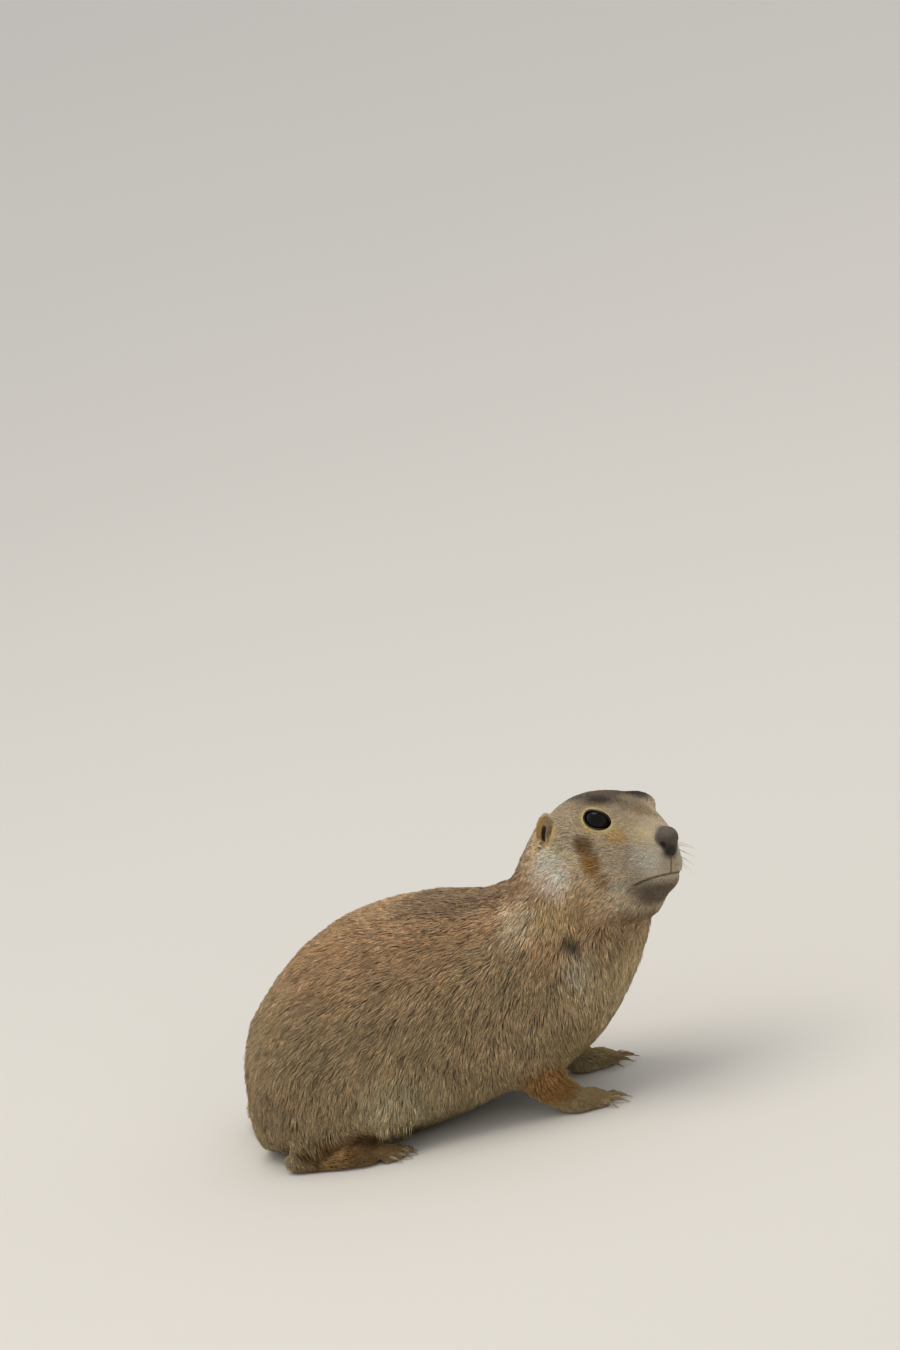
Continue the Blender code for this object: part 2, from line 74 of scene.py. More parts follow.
# Each eye has its own axes too: Z out along its gaze, X forward along the lids, Y up
eye = {
    "at": (-3.2, 11.6, -0.8), "radius": 6.25, "ahead": 30, "above": 8, "slant": 8,
    "bulge": 0.03, "bulgeReach": 0.75, "irisReach": 1.1, "front": 11, "outside": 9,
}
lids = {
    "long": 6.2, "high": 4.2, "wide": 0.75, "thick": 0.5, "corner": 1.3, "cornerAt": -22, "sharp": 14,
    "cornerHigh": 0.3, "seat": 0.45, "lowest": 1.6, "roll": 0.3, "paleAbove": 0.9, "pale": (0.75, 1.15),
    "moist": "#120c09",
}


def eyePlace(side):
    ahead, above = math.radians(eye["ahead"]), math.radians(eye["above"])
    out = Vector((
        math.sin(ahead) * math.cos(above), sides[side] * math.cos(ahead) * math.cos(above), math.sin(above),
    ))
    level = Vector((1, 0, -math.tan(math.radians(eye["slant"]))))
    along = (level - level.project(out)).normalized()
    upward = out.cross(along)
    if upward.z < 0:
        upward = -upward
    turn = Matrix((along, upward, out)).transposed().to_4x4()
    return headPlace @ Matrix.Translation(sided(eye["at"], side)) @ turn


# How much farther the lids reach toward their front corner, in mm, at each angle round the gaze
def cornerPull(turn):
    return lids["corner"] * np.maximum(0, np.cos(turn - math.radians(lids["cornerAt"]))) ** lids["sharp"]


# How far outside the lids' opening each point is, as a share of its size, and its place on the eye's axes
def roundEye(points, side):
    inverse = np.array(eyePlace(side).inverted())
    near = points @ inverse[:3, :3].T + inverse[:3, 3]
    pull = cornerPull(np.arctan2(near[:, 1], near[:, 0]))
    high = lids["high"] + lids["cornerHigh"] * pull
    size = np.hypot(near[:, 0] / (lids["long"] + pull), near[:, 1] / high)
    ahead = (near[:, 2] > 0) & (near[:, 2] < eye["front"])
    return np.where(ahead, size, eye["outside"]), near


# Small maths on whole arrays of points, in mm

def unit(vectors):
    return vectors / np.maximum(np.linalg.norm(vectors, axis=1, keepdims=True), 1e-9)


def ease(values, low, high):
    share = np.clip((values - low) / (high - low), 0, 1)
    return share * share * (3 - 2 * share)


# Soft noise between about -1 and 1, size mm from crest to crest along each axis
def ripple(points, size, seed, waves=14):
    draw = np.random.default_rng(seed)
    total = np.zeros(len(points))
    for _ in range(waves):
        way = draw.normal(size=3)
        way *= 2 * math.pi / np.linalg.norm(way) / np.broadcast_to(size, 3)
        total += np.sin(points @ way + draw.uniform(0, 2 * math.pi))
    return total / math.sqrt(waves)


# A hex colour as linear red, green and blue
def linear(code):
    parts = np.array([int(code[k:k + 2], 16) / 255 for k in (1, 3, 5)])
    return np.where(parts <= 0.04045, parts / 12.92, ((parts + 0.055) / 1.055) ** 2.4)


def mix(first, second, share):
    return first * (1 - share) + second * share


# How far each point is from the middle of an ellipsoid, as a share of its radii
def gapFrom(points, at, radii):
    return np.linalg.norm((points - np.array(at)) / np.array(radii), axis=1)


# Blends the values that named places give, by nearness
def spread(points, places, reach):
    table = np.array(list(places.values()), dtype=float)
    gap = ((points[:, None, :] - table[None, :, :3]) ** 2).sum(2)
    weight = 1 / (gap + reach * reach) ** 2
    return weight @ table[:, 3:] / weight.sum(1, keepdims=True)


seam = 3  # mm beside the middle over which one side turns to the other


# The points with both sides laid on one, and which side each came from
def folded(points, middle=0.0):
    out = points.copy()
    out[:, 1] -= middle
    side = np.clip(out[:, 1] / seam, -1, 1)
    out[:, 1] = np.abs(out[:, 1])
    return out, side


# Places on the head with both sides laid on one
def onHead(points):
    return folded(inHead(points))[0]


# Where head turns to body, across the nape and throat
headEdge = {"at": (-38, 0, -15), "way": (0.5, 0, 0.87), "half": 13}


# 1 on the head, 0 on the body, and between them near the edge
def headShare(points):
    ahead = (inHead(points) - np.array(headEdge["at"])) @ np.array(headEdge["way"])
    return ease(ahead, -headEdge["half"], headEdge["half"])


# How far from its place each value of a table reaches, in mm
blend = {"headCoat": 4, "bodyCoat": 5, "headLie": 2.5, "bodyLie": 5}

# Where the coat is how deep, long and wide, in mm: place x, y out from the middle, z, then the three
bodyCoat = {
    "back": (-30, 0, 97, 3.2, 6.6, 0.44),
    "withers": (20, 0, 97, 3.0, 6.4, 0.43),
    "rump": (-92, 0, 65, 3.5, 7.8, 0.46),
    "rumpLow": (-100, 10, 25, 3.8, 9.5, 0.5),
    "upperFlank": (-30, 40, 80, 3.4, 7.0, 0.44),
    "flank": (-30, 52, 45, 3.7, 8.0, 0.46),
    "lowFlank": (-30, 50, 18, 4.2, 11.5, 0.52),
    "bellyEdge": (-10, 42, 8, 3.6, 13.0, 0.52),
    "belly": (-30, 10, 1, 2.2, 8.0, 0.55),
    "haunch": (-80, 45, 30, 3.7, 8.0, 0.46),
    "thighLow": (-60, 50, 12, 3.0, 8.5, 0.48),
    "shoulder": (30, 36, 60, 3.4, 7.2, 0.44),
    "chest": (62, 10, 50, 4.0, 10.0, 0.48),
    "breast": (60, 28, 60, 3.8, 9.5, 0.48),
    "neckSide": (50, 25, 95, 3.0, 7.0, 0.44),
    "nape": (42, 0, 112, 2.8, 6.5, 0.42),
    "throatLow": (84, 8, 76, 2.6, 6.5, 0.42),
    "upperArm": (30, 40, 40, 3.0, 7.5, 0.46),
    "elbow": (38, 33, 20, 1.8, 5.0, 0.4),
    "wrist": (45, 27, 9, 0.8, 3.0, 0.34),
    "paw": (55, 24, 5, 0.4, 1.5, 0.26),
    "toes": (64, 24, 3, 0.15, 0.8, 0.22),
    "heel": (-76, 44, 6, 1.2, 4.0, 0.4),
    "hindFoot": (-50, 47, 5, 0.4, 1.7, 0.28),
    "hindToes": (-36, 48, 3, 0.15, 0.8, 0.22),
    "tail": (-110, 30, 8, 3.0, 11.0, 0.52),
    "tailTip": (-102, 55, 5, 2.2, 12.0, 0.48),
}
headCoat = {
    "noseBulb": (27, 0, -5, 0.0, 0.7, 0.22),
    "noseSide": (25, 5, -6, 0.05, 0.8, 0.22),
    "bridge": (12, 0, 4, 0.5, 1.9, 0.27),
    "forehead": (0, 0, 8, 0.9, 2.6, 0.3),
    "crown": (-20, 0, 8, 1.3, 3.4, 0.33),
    "nape": (-38, 0, -5, 2.6, 6.0, 0.42),
    "muzzle": (20, 9, -10, 0.45, 1.6, 0.25),
    "pad": (22, 8, -17, 0.5, 1.8, 0.25),
    "lip": (27, 4, -19, 0.3, 1.1, 0.24),
    "chin": (23, 3, -27, 0.6, 2.0, 0.28),
    "cheekFront": (8, 15, -12, 0.8, 2.6, 0.3),
    "belowEye": (-3, 18, -9, 0.7, 2.6, 0.3),
    "lid": (-3, 15, -1, 0.2, 1.1, 0.24),
    "brow": (-3, 12, 7, 0.5, 2.2, 0.28),
    "temple": (-15, 20, 0, 0.9, 2.8, 0.3),
    "cheek": (-8, 20, -20, 1.4, 3.8, 0.34),
    "cheekPatch": (-22, 25, -28, 2.2, 5.5, 0.38),
    "jowl": (-5, 18, -36, 2.2, 5.5, 0.38),
    "jaw": (10, 12, -32, 1.4, 3.8, 0.34),
    "throat": (8, 0, -44, 2.2, 5.5, 0.4),
    "ear": (-27.5, 20, -8, 0.3, 1.7, 0.26),
    "behindEar": (-34, 19, -14, 2.0, 4.8, 0.4),
}


# Depth, length and width of the coat at each point
def coatAt(points):
    bodySide, _ = folded(points, midline)
    body = spread(bodySide, bodyCoat, blend["bodyCoat"])
    return mix(body, spread(onHead(points), headCoat, blend["headCoat"]), headShare(points)[:, None])


# Which way the hair lies: a place, then the way it points from root to tip
bodyLie = {
    "tailEnd": (-98, 0, 60, -0.5, 0, -0.9),
    "underTail": (-102, 8, 25, -0.1, 0.1, -1),
    "rump": (-85, 0, 85, -1, 0, -0.5),
    "loin": (-50, 0, 94, -1, 0, -0.1),
    "back": (-20, 0, 97, -1, 0, 0.05),
    "withers": (10, 0, 96, -1, 0, 0),
    "neckBase": (30, 0, 98, -0.9, 0, -0.35),
    "nape": (45, 0, 112, -0.6, 0, -0.8),
    "rumpSide": (-80, 28, 80, -0.9, 0.3, -0.5),
    "upperFlank": (-50, 33, 84, -1, 0.3, -0.35),
    "ribs": (-15, 30, 87, -1, 0.25, -0.3),
    "blade": (15, 30, 85, -0.95, 0.2, -0.4),
    "haunch": (-80, 40, 55, -0.75, 0.1, -0.7),
    "flank": (-40, 50, 55, -0.85, 0, -0.6),
    "side": (0, 47, 55, -0.75, 0, -0.7),
    "shoulder": (30, 40, 60, -0.55, 0, -0.85),
    "haunchLow": (-82, 45, 25, -0.45, 0, -0.85),
    "thigh": (-60, 52, 25, -0.35, 0, -0.95),
    "lowFlank": (-30, 52, 25, -0.35, 0, -0.95),
    "lowSide": (5, 46, 25, -0.3, 0, -0.95),
    "fringe": (-30, 48, 8, -0.15, 0, -1),
    "fringeFront": (10, 42, 10, -0.15, 0, -1),
    "belly": (-30, 12, 1, -1, 0, 0),
    "breastbone": (30, 10, 14, -0.9, 0, -0.2),
    "upperArm": (32, 38, 40, -0.2, 0, -1),
    "elbow": (30, 38, 24, -0.1, 0, -1),
    "forearm": (40, 32, 15, 0.35, 0, -0.9),
    "wrist": (44, 28, 9, 0.8, 0, -0.5),
    "paw": (54, 24, 6, 1, 0, -0.1),
    "toes": (64, 24, 3, 1, 0, -0.2),
    "heel": (-78, 44, 8, 0.5, 0, -0.7),
    "hindFoot": (-52, 47, 7, 1, 0, 0),
    "hindToes": (-38, 48, 4, 1, 0, -0.2),
    "chest": (64, 0, 58, -0.1, 0, -1),
    "breast": (62, 25, 56, -0.15, 0.1, -1),
    "chestLow": (56, 10, 32, -0.3, 0, -1),
    "neckSide": (45, 28, 95, -0.6, 0, -0.8),
    "neckFront": (66, 28, 88, -0.35, 0, -0.9),
    "throatLow": (82, 5, 76, -0.3, 0, -0.95),
    "tailRoot": (-100, 12, 12, -0.3, 1, -0.2),
    "tail": (-109, 30, 8, 0, 1, 0),
    "tailTip": (-103, 54, 5, 0.5, 0.9, 0),
}
headLie = {
    "noseTop": (27, 0, -1, -1, 0, 0.3),
    "noseSide": (25, 5, -7, -1, 0.3, -0.1),
    "bridge": (12, 0, 5, -1, 0, 0.2),
    "forehead": (0, 0, 8, -1, 0, 0.1),
    "crown": (-20, 0, 8, -1, 0, -0.15),
    "nape": (-37, 0, -6, -0.8, 0, -0.6),
    "muzzle": (20, 9, -11, -0.95, 0.2, -0.3),
    "pad": (22, 8, -17, -0.85, 0.2, -0.5),
    "lip": (27, 4, -19, -0.5, 0.3, -0.8),
    "bridgeSide": (14, 8, -2, -0.95, 0.3, 0.15),
    "cheekFront": (8, 15, -12, -0.95, 0.2, -0.2),
    "cheek": (-6, 20, -15, -1, 0.1, -0.22),
    "belowEar": (-20, 24, -18, -0.95, 0, -0.3),
    "cheekPatch": (-22, 25, -28, -0.75, 0, -0.65),
    "jowl": (-5, 20, -32, -0.75, 0, -0.65),
    "jaw": (8, 14, -30, -0.8, 0.1, -0.6),
    "chin": (22, 3, -31, -0.8, 0, -0.6),
    "throat": (8, 0, -44, -0.6, 0, -0.8),
    "temple": (-16, 20, 0, -1, 0.1, -0.1),
    "brow": (-3, 12, 7, -0.9, 0.3, 0.25),
    "eyeFront": (6, 12, -3, -0.75, 0.3, 0.4),
    "belowEye": (-2, 18, -8, -1, 0.2, -0.15),
    "behindEar": (-34, 20, -12, -0.8, 0, -0.6),
}
# The parting on the right of the breast, where the throat's hair meets the chest's
whorl = {"at": (62.8, -31.5, 80), "reach": 17, "fan": 0.55, "turn": (-2, 5)}


# The way the hair lies, along the skin
def lieAt(points, normals):
    bodySide, bodySign = folded(points, midline)
    headSide, headSign = folded(inHead(points))
    bodyWay = spread(bodySide, bodyLie, blend["bodyLie"])
    bodyWay[:, 1] *= bodySign
    headWay = spread(headSide, headLie, blend["headLie"])
    headWay[:, 1] *= headSign
    way = mix(bodyWay, headWay @ headAxes.T, headShare(points)[:, None])
    away = points - np.array(whorl["at"])
    gap = np.linalg.norm(away, axis=1)
    below = ease(-away[:, 2], *whorl["turn"])
    pull = (whorl["fan"] * np.exp(-(gap / whorl["reach"]) ** 2) * (2 * below - 1))[:, None]
    way = unit(way) + unit(away) * pull
    return unit(way - normals * (way * normals).sum(1, keepdims=True))


# Markings and painted shading: a colour all over, then soft patches laid over one another in order. On the
# head, the chin, throat and nose patches are partly or wholly painted shade, and the nose's top painted
# light.
# Each patch is a place, its radii, its colour and how fully it covers, and some have a crisp edge
patchEdge = {"soft": (0.45, 1.15), "crisp": (0.85, 1.1)}
wobble = {"size": 9, "far": 1.1, "onHead": 0.45, "seeds": (1, 2, 3)}  # mm, so that no edge is smooth
bodyBands = {"back": (55, 88), "low": (6, 34)}  # heights over which the three grounds meet
bodyGround = {"back": "#a38767", "side": "#9a8768", "low": "#9c8e6c"}
bodyMarks = {
    "saddle": ((12, 0, 96), (34, 26, 14), "#6c5b49", 0.75),
    "rumpGlow": ((-60, 18, 88), (34, 30, 16), "#a38562", 0.6),
    "rumpEnd": ((-98, 10, 45), (14, 40, 34), "#967d63", 0.6),
    "haunchShade": ((-84, 44, 24), (20, 22, 22), "#86735c", 0.7),
    "flankPale": ((-20, 50, 26), (26, 16, 17), "#a79c7d", 0.8),
    "fringe": ((-20, 46, 9), (60, 20, 8), "#6e5431", 0.75),
    "thighRust": ((-54, 52, 8), (30, 14, 12), "#5d4426", 0.95),
    "shoulderGrey": ((30, 32, 72), (20, 16, 20), "#998768", 0.6),
    "neckSide": ((41, 27, 91), (14, 14, 14), "#d2c0a1", 0.8),
    "neckBuff": ((58, 30, 89), (13, 12, 10), "#bfa97e", 0.8),
    "nape": ((40, 0, 110), (14, 14, 16), "#8d7f6a", 0.8),
    "chest": ((66, 8, 52), (20, 34, 34), "#a99877", 0.95),
    "chestLow": ((52, 26, 34), (16, 16, 14), "#9a8862", 0.7),
    "elbowRust": ((36, 32, 16), (16, 16, 13), "#8f6a3c", 0.95),
    "pawGold": ((54, 24, 5), (17, 14, 6), "#958059", 0.95),
    "hindGold": ((-48, 47, 4), (26, 10, 5), "#866a42", 0.95),
    "throatShade": ((84, 6, 78), (16, 24, 11), "#837054", 0.75),
    "tail": ((-108, 30, 8), (16, 40, 14), "#a38c68", 0.7),
    "tailTip": ((-103, 56, 5), (12, 12, 12), "#cabd9d", 0.9),
}
headGround = "#b4a48a"
headMarks = {
    "crown": ((-18, 0, 9), (38, 20, 11), "#493e34", 0.9),
    "napeShade": ((-38, 0, -8), (14, 18, 16), "#857561", 0.8),
    "brow": ((-2.8, 10.5, 8.5), (11.5, 6, 6), "#3b3028", 0.95),
    "foreheadBuff": ((3, 0, 8), (6, 4.5, 5), "#8a7a62", 0.8),
    "bridge": ((14, 0, 4), (9, 7, 4), "#897658", 0.8),
    "eyeGold": ((-2, 15, -1), (9.5, 7, 6.2), "#b89f6a", 0.95),
    "cheekGold": ((9, 13, -6), (7, 7, 5), "#b39a68", 0.85),
    "muzzleGold": ((18, 8, -4.5), (7, 6, 4), "#c2b28f", 0.9),
    "pad": ((22, 9, -15), (9, 8, 7.5), "#c1b9a8", 1.0),
    "earBand": ((-17, 23, -15), (11, 7, 3.5), "#bbb190", 0.8),
    "darkCheek": ((-3.5, 19.5, -11), (5.5, 7, 5.5), "#705635", 0.95),
    "rustCheek": ((0, 18, -18.5), (5, 7, 6.5), "#876330", 0.9),
    "rustTail": ((4.5, 16, -25), (4.5, 6, 4.5), "#886942", 0.75),
    "cheekPatch": ((-20.5, 25, -26.5), (13.5, 12, 13.5), "#f7f4e6", 1.0),
    "belowPatch": ((-17, 23, -39), (12, 10, 7), "#b8a77c", 0.85),
    "jowl": ((-3, 18, -33), (10, 10, 8), "#96825c", 0.7),
    "jaw": ((11, 13, -27), (6, 6, 5), "#a59c87", 0.7),
    # The chin's own darker grey-brown, deepened by painted shade under the jaw
    "chin": ((21, 0, -28.5), (13, 14.5, 7.5), "#5a4f43", 0.85),
    # The throat's dark patch is painted shade under the head
    "throat": ((8, 0, -43), (18, 16, 11), "#4c3b29", 0.95),
    "earRim": ((-29, 24, -8), (6, 6, 9), "#b2935c", 0.9),
    "nose": ((26.5, 0, -6.5), (6, 6.2, 6.4), "#554c41", 1.0, "crisp"),
    # The nose bulb: a lighter top as painted light, and a near-black underside as painted shade
    "noseTop": ((26.5, 0, -2.5), (6.5, 5.5, 4.5), "#6c6356", 0.7),
    "noseUnder": ((28.5, 0, -11.4), (4.8, 6.0, 3.5), "#20130d", 1.0),
    # The nostril's opening, painted dark as the shade inside it
    "nostril": ((28.6, 4.2, -8.6), (3.0, 1.6, 1.7), "#120a07", 1.0),
}
eyeRim = {"colour": "#d0bc84", "cover": 0.9, "edge": (1.1, 1.27)}
sideMarks = {  # on one side only, at places of the body
    "whorlGrey": ((62, -33, 68), (8, 9, 12), "#aba18c", 0.7),
    "whorlDark": ((62.6, -31.5, 78.5), (6, 7.5, 6.5), "#3d372f", 0.9),
}
# Seen from the side, the line of the lips back to the corner; and from the front, the lips up to the nose
mouthLine = ((32, -20.2), (29, -20.6), (26, -21.7), (21, -23.9), (17, -26))
cleftLine = ((0, -12), (0, -20.6))
lineLook = {"colour": "#30231a", "half": 0.08, "fade": 0.68, "cleftFrom": 24, "away": 9}
# The ear's opening: a dark slit painted on the cup as the shade inside its canal
earHole = {"at": (-28.3, 19.6, -9.4), "radii": (1.5, 1.7, 4.2), "edge": (0.7, 1.0)}
earCup = {"at": (-24.7, 22.2, -8), "radii": (5.2, 4.4, 6.7), "colour": "#b3945f", "edge": (1.0, 1.15)}


def paint(colours, points, marks):
    for at, radii, code, cover, *crisp in marks.values():
        start, end = patchEdge["crisp" if crisp else "soft"]
        share = cover * (1 - ease(gapFrom(points, at, radii), start, end))
        colours = mix(colours, linear(code), share[:, None])
    return colours


# Distance of flat points from a line through corners
def nearLine(points, line):
    best = np.full(len(points), 1e9)
    for start, end in zip(line, line[1:]):
        start, end = np.array(start, float), np.array(end, float)
        along = np.clip((points - start) @ (end - start) / ((end - start) @ (end - start)), 0, 1)
        best = np.minimum(best, np.linalg.norm(points - start - along[:, None] * (end - start), axis=1))
    return best


# The coat's colour at each point, linear, with the painted shade and light of the chin, throat and nose
def marksAndShadingAt(points):
    shift = np.stack([ripple(points, wobble["size"], seed) for seed in wobble["seeds"]], 1) * wobble["far"]
    bodySide, _ = folded(points + shift, midline)
    back, side, low = (linear(bodyGround[key]) for key in ("back", "side", "low"))
    body = mix(side, back, ease(bodySide[:, 2], *bodyBands["back"])[:, None])
    body = mix(low, body, ease(bodySide[:, 2], *bodyBands["low"])[:, None])
    body = paint(body, bodySide, bodyMarks)
    body = paint(body, points, sideMarks)
    head = np.repeat(linear(headGround)[None], len(points), 0)
    head = paint(head, onHead(points + wobble["onHead"] * shift), headMarks)
    nearer = np.minimum(*(roundEye(points, side)[0] for side in sides))
    rim = eyeRim["cover"] * (1 - ease(nearer, *eyeRim["edge"]))
    head = mix(head, linear(eyeRim["colour"]), rim[:, None])
    return mix(body, head, headShare(points)[:, None])


# How dark the mouth's line and the ear's opening are at each point; the ear's opening is painted shade
def fineLines(points):
    headSide = onHead(points)
    cleft = nearLine(headSide[:, 1:], cleftLine) + lineLook["away"] * (headSide[:, 0] < lineLook["cleftFrom"])
    gap = np.minimum(nearLine(headSide[:, [0, 2]], mouthLine), cleft)
    line = 1 - ease(gap, lineLook["half"], lineLook["fade"])
    hole = gapFrom(headSide, earHole["at"], earHole["radii"])
    return np.maximum(line, 1 - ease(hole, *earHole["edge"])) * (headShare(points) > 0.5)


# How far each point is from the middle of the ear's cup, as a share of its size
def roundEar(points):
    return gapFrom(onHead(points), earCup["at"], earCup["radii"])


claws = {
    "fore": {"palm": (45.86, 23.5), "step": {"Right": 0, "Left": -9}, "fan": (-24, -8, 8, 24),
             "reach": (2.5, 5, 5.5, 3), "radius": 2.3, "long": 6.9},
    "hind": {"palm": (-45.14, 48), "step": {"Right": 0, "Left": 0}, "fan": (-22, -11, 0, 11, 22),
             "reach": (5, 8, 9, 8, 5), "radius": 2.4, "long": 4.8},
    "leaves": 6, "thick": 1.0, "flat": 0.72, "point": 0.16, "start": 0.6, "lift": 0.5, "arch": 1.6,
    "droop": 1.4, "thin": 0.25, "swell": 0.9, "lowest": 0.12,
    "bare": {"from": 1.3, "to": 14, "wide": 1.9, "high": 7},  # the space kept free of hair round each
}


# Where each foot's toes fan out from, which way each points and how far its flesh reaches, in mm
def toesOf(foot, side):
    sizes = claws[foot]
    base = sided((*sizes["palm"], 0), side) + Vector((sizes["step"][side], midline, 0))
    for fan, reach in zip(sizes["fan"], sizes["reach"]):
        angle = math.radians(fan)
        yield base, Vector((math.cos(angle), sides[side] * math.sin(angle), 0)), claws["leaves"] + reach


# True on the claws, past the ends of the toes
def onClaws(points):
    bare = claws["bare"]
    found = np.zeros(len(points), bool)
    for foot in ("fore", "hind"):
        for side in sides:
            for base, way, reach in toesOf(foot, side):
                local = points - np.array(base)
                along = local @ np.array(way)
                off = np.abs(local @ np.array((-way.y, way.x, 0)))
                found |= ((along > reach + bare["from"]) & (along < reach + bare["to"])
                          & (off < bare["wide"]) & (points[:, 2] < bare["high"]))
    return found


# Small helpers for meshes and materials

# One node with its settings, and its inputs set to values or joined to outputs
def addNode(tree, kind, settings=None, links=None):
    node = tree.nodes.new(kind)
    for key, value in (settings or {}).items():
        setattr(node, key, value)
    for key, value in (links or {}).items():
        if isinstance(value, bpy.types.NodeSocket):
            tree.links.new(value, node.inputs[key])
        else:
            node.inputs[key].default_value = value
    return node


def newMaterial(name, sockets):
    material = bpy.data.materials.new(name)
    material.use_nodes = True
    tree = material.node_tree
    shader = tree.nodes["Principled BSDF"]
    for key, value in sockets.items():
        shader.inputs[key].default_value = value
    return material, tree, shader


def addObject(name, data):
    made = bpy.data.objects.new(name, data)
    bpy.context.scene.collection.objects.link(made)
    return made


def newPiece(name, mesh, material):
    piece = addObject(name, mesh)
    mesh.materials.clear()
    mesh.materials.append(material)
    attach(piece, "root")
    return piece


def meshFrom(name, bm, smooth=True):
    mesh = bpy.data.meshes.new(name)
    bmesh.ops.recalc_face_normals(bm, faces=bm.faces)
    bmesh.ops.scale(bm, vec=(mm, mm, mm), verts=bm.verts)
    bm.to_mesh(mesh)
    bm.free()
    if smooth:
        mesh.shade_smooth()
    return mesh


def joinInto(bm, part):
    mesh = bpy.data.meshes.new("part")
    part.to_mesh(mesh)
    part.free()
    bm.from_mesh(mesh)
    bpy.data.meshes.remove(mesh)


def eachVertex(mesh, what):
    flat = np.empty(len(mesh.vertices) * 3)
    mesh.vertices.foreach_get(what, flat)
    return flat.reshape(-1, 3)


def pointsOf(mesh):
    return eachVertex(mesh, "co") / mm


def paintMesh(mesh, colours):
    layer = mesh.color_attributes.new("marksAndShading", "FLOAT_COLOR", "POINT")
    rows = np.ones((len(colours), 4), np.float32)
    rows[:, :3] = colours
    layer.data.foreach_set("color", rows.ravel())


# A number for each vertex, for a material to read
def valueAttribute(mesh, name, values):
    layer = mesh.attributes.new(name, "FLOAT", "POINT")
    layer.data.foreach_set("value", np.clip(values, 0, 1))


# Base colours along a value from 0 to 1, each stop a place and a hex colour
def colourRamp(tree, shader, value, stops):
    ramp = addNode(tree, "ShaderNodeValToRGB", None, {"Fac": value})
    made = ramp.color_ramp.elements
    for k, (place, code) in enumerate(stops):
        stop = made[k] if k < 2 else made.new(place)
        stop.position = place
        stop.color = (*linear(code), 1)
    tree.links.new(ramp.outputs["Color"], shader.inputs["Base Color"])


# The painted markings and painted shading, made a little lighter and darker by a grain some mm across
def grainedMarksAndShading(tree, shader, size, detail, least, most):
    shade = addNode(tree, "ShaderNodeVertexColor", {"layer_name": "marksAndShading"})
    place = addNode(tree, "ShaderNodeTexCoord")
    grain = addNode(tree, "ShaderNodeTexNoise", None, {
        "Vector": place.outputs["Object"], "Scale": 1 / (size * mm), "Detail": detail,
    })
    level = addNode(tree, "ShaderNodeMapRange", None, {
        "Value": grain.outputs["Fac"], "From Min": 0.3, "From Max": 0.7, "To Min": least, "To Max": most,
    })
    tone = addNode(tree, "ShaderNodeVectorMath", {"operation": "SCALE"}, {
        "Vector": shade.outputs["Color"], "Scale": level.outputs["Result"],
    })
    tree.links.new(tone.outputs["Vector"], shader.inputs["Base Color"])
    return grain


# Skin: one surface in place of every node of flesh, sunk by the coat's depth

skinMake = {
    "voxel": 0.62, "rounds": 5, "bodyRounds": 40, "bodyAbove": (6, 20), "triangles": 185000,
    "sinkAbove": (0.2, 3), "darken": 0.5, "bareDepth": (0.3, 0.9), "bareDarken": 0.85,
}
noseSkin = {"at": (26.5, 0, -6), "radii": 7.5, "edge": (0.75, 1.05)}
fleshNodes = [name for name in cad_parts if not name.startswith("eye_")]


def applyModifiers(obj):
    graph = bpy.context.evaluated_depsgraph_get()
    mesh = bpy.data.meshes.new_from_object(obj.evaluated_get(graph))
    obj.modifiers.clear()
    obj.data = mesh


def makeSkin():
    bm = bmesh.new()
    for name in fleshNodes:
        part = bmesh.new()
        part.from_mesh(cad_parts[name].data)
        bmesh.ops.remove_doubles(part, verts=part.verts, dist=1e-6)
        joinInto(bm, part)
    mesh = bpy.data.meshes.new("skin")
    bm.to_mesh(mesh)
    bm.free()
    skin = addObject("skin", mesh)
    remesh = skin.modifiers.new("fuse", "REMESH")
    remesh.mode = "VOXEL"
    remesh.voxel_size = skinMake["voxel"] * mm
    applyModifiers(skin)
    points = pointsOf(skin.data)
    onBody = (1 - headShare(points)) * ease(points[:, 2], *skinMake["bodyAbove"])
    group = skin.vertex_groups.new(name="body")
    for index, weight in enumerate(onBody.tolist()):
        group.add([index], weight, "REPLACE")
    for rounds, name in ((skinMake["rounds"], ""), (skinMake["bodyRounds"], "body")):
        smooth = skin.modifiers.new("soften", "SMOOTH")
        smooth.factor = 0.5
        smooth.iterations = rounds
        smooth.vertex_group = name
    thin = skin.modifiers.new("thin", "DECIMATE")
    thin.ratio = skinMake["triangles"] / (2 * len(skin.data.polygons))
    thin.vertex_group = "body"
    thin.vertex_group_factor = 1
    applyModifiers(skin)
    points, normals = pointsOf(skin.data), eachVertex(skin.data, "normal")
    rings = [list(face.vertices) for face in skin.data.polygons]
    outline = BVHTree.FromPolygons(points.tolist(), rings)
    depth = coatAt(points)[:, 0] * ease(points[:, 2], *skinMake["sinkAbove"])
    points = points - normals * depth[:, None]
    skin.data.vertices.foreach_set("co", (points * mm).ravel())
    skin.data.update()
    marksAndShading = marksAndShadingAt(points)
    nose = 1 - ease(gapFrom(onHead(points), noseSkin["at"], noseSkin["radii"]), *noseSkin["edge"])
    bare = np.maximum(nose, 1 - ease(coatAt(points)[:, 0], *skinMake["bareDepth"]))[:, None]
    colours = mix(marksAndShading * skinMake["darken"], marksAndShading * skinMake["bareDarken"], bare)
    cup = (1 - ease(roundEar(points), *earCup["edge"]))[:, None]
    colours = mix(colours, linear(earCup["colour"]), cup)
    # The mouth's line, and the ear's opening painted dark as its shade
    colours = mix(colours, linear(lineLook["colour"]), fineLines(points)[:, None])
    paintMesh(skin.data, colours)
    skin.data.shade_smooth()
    return skin, outline


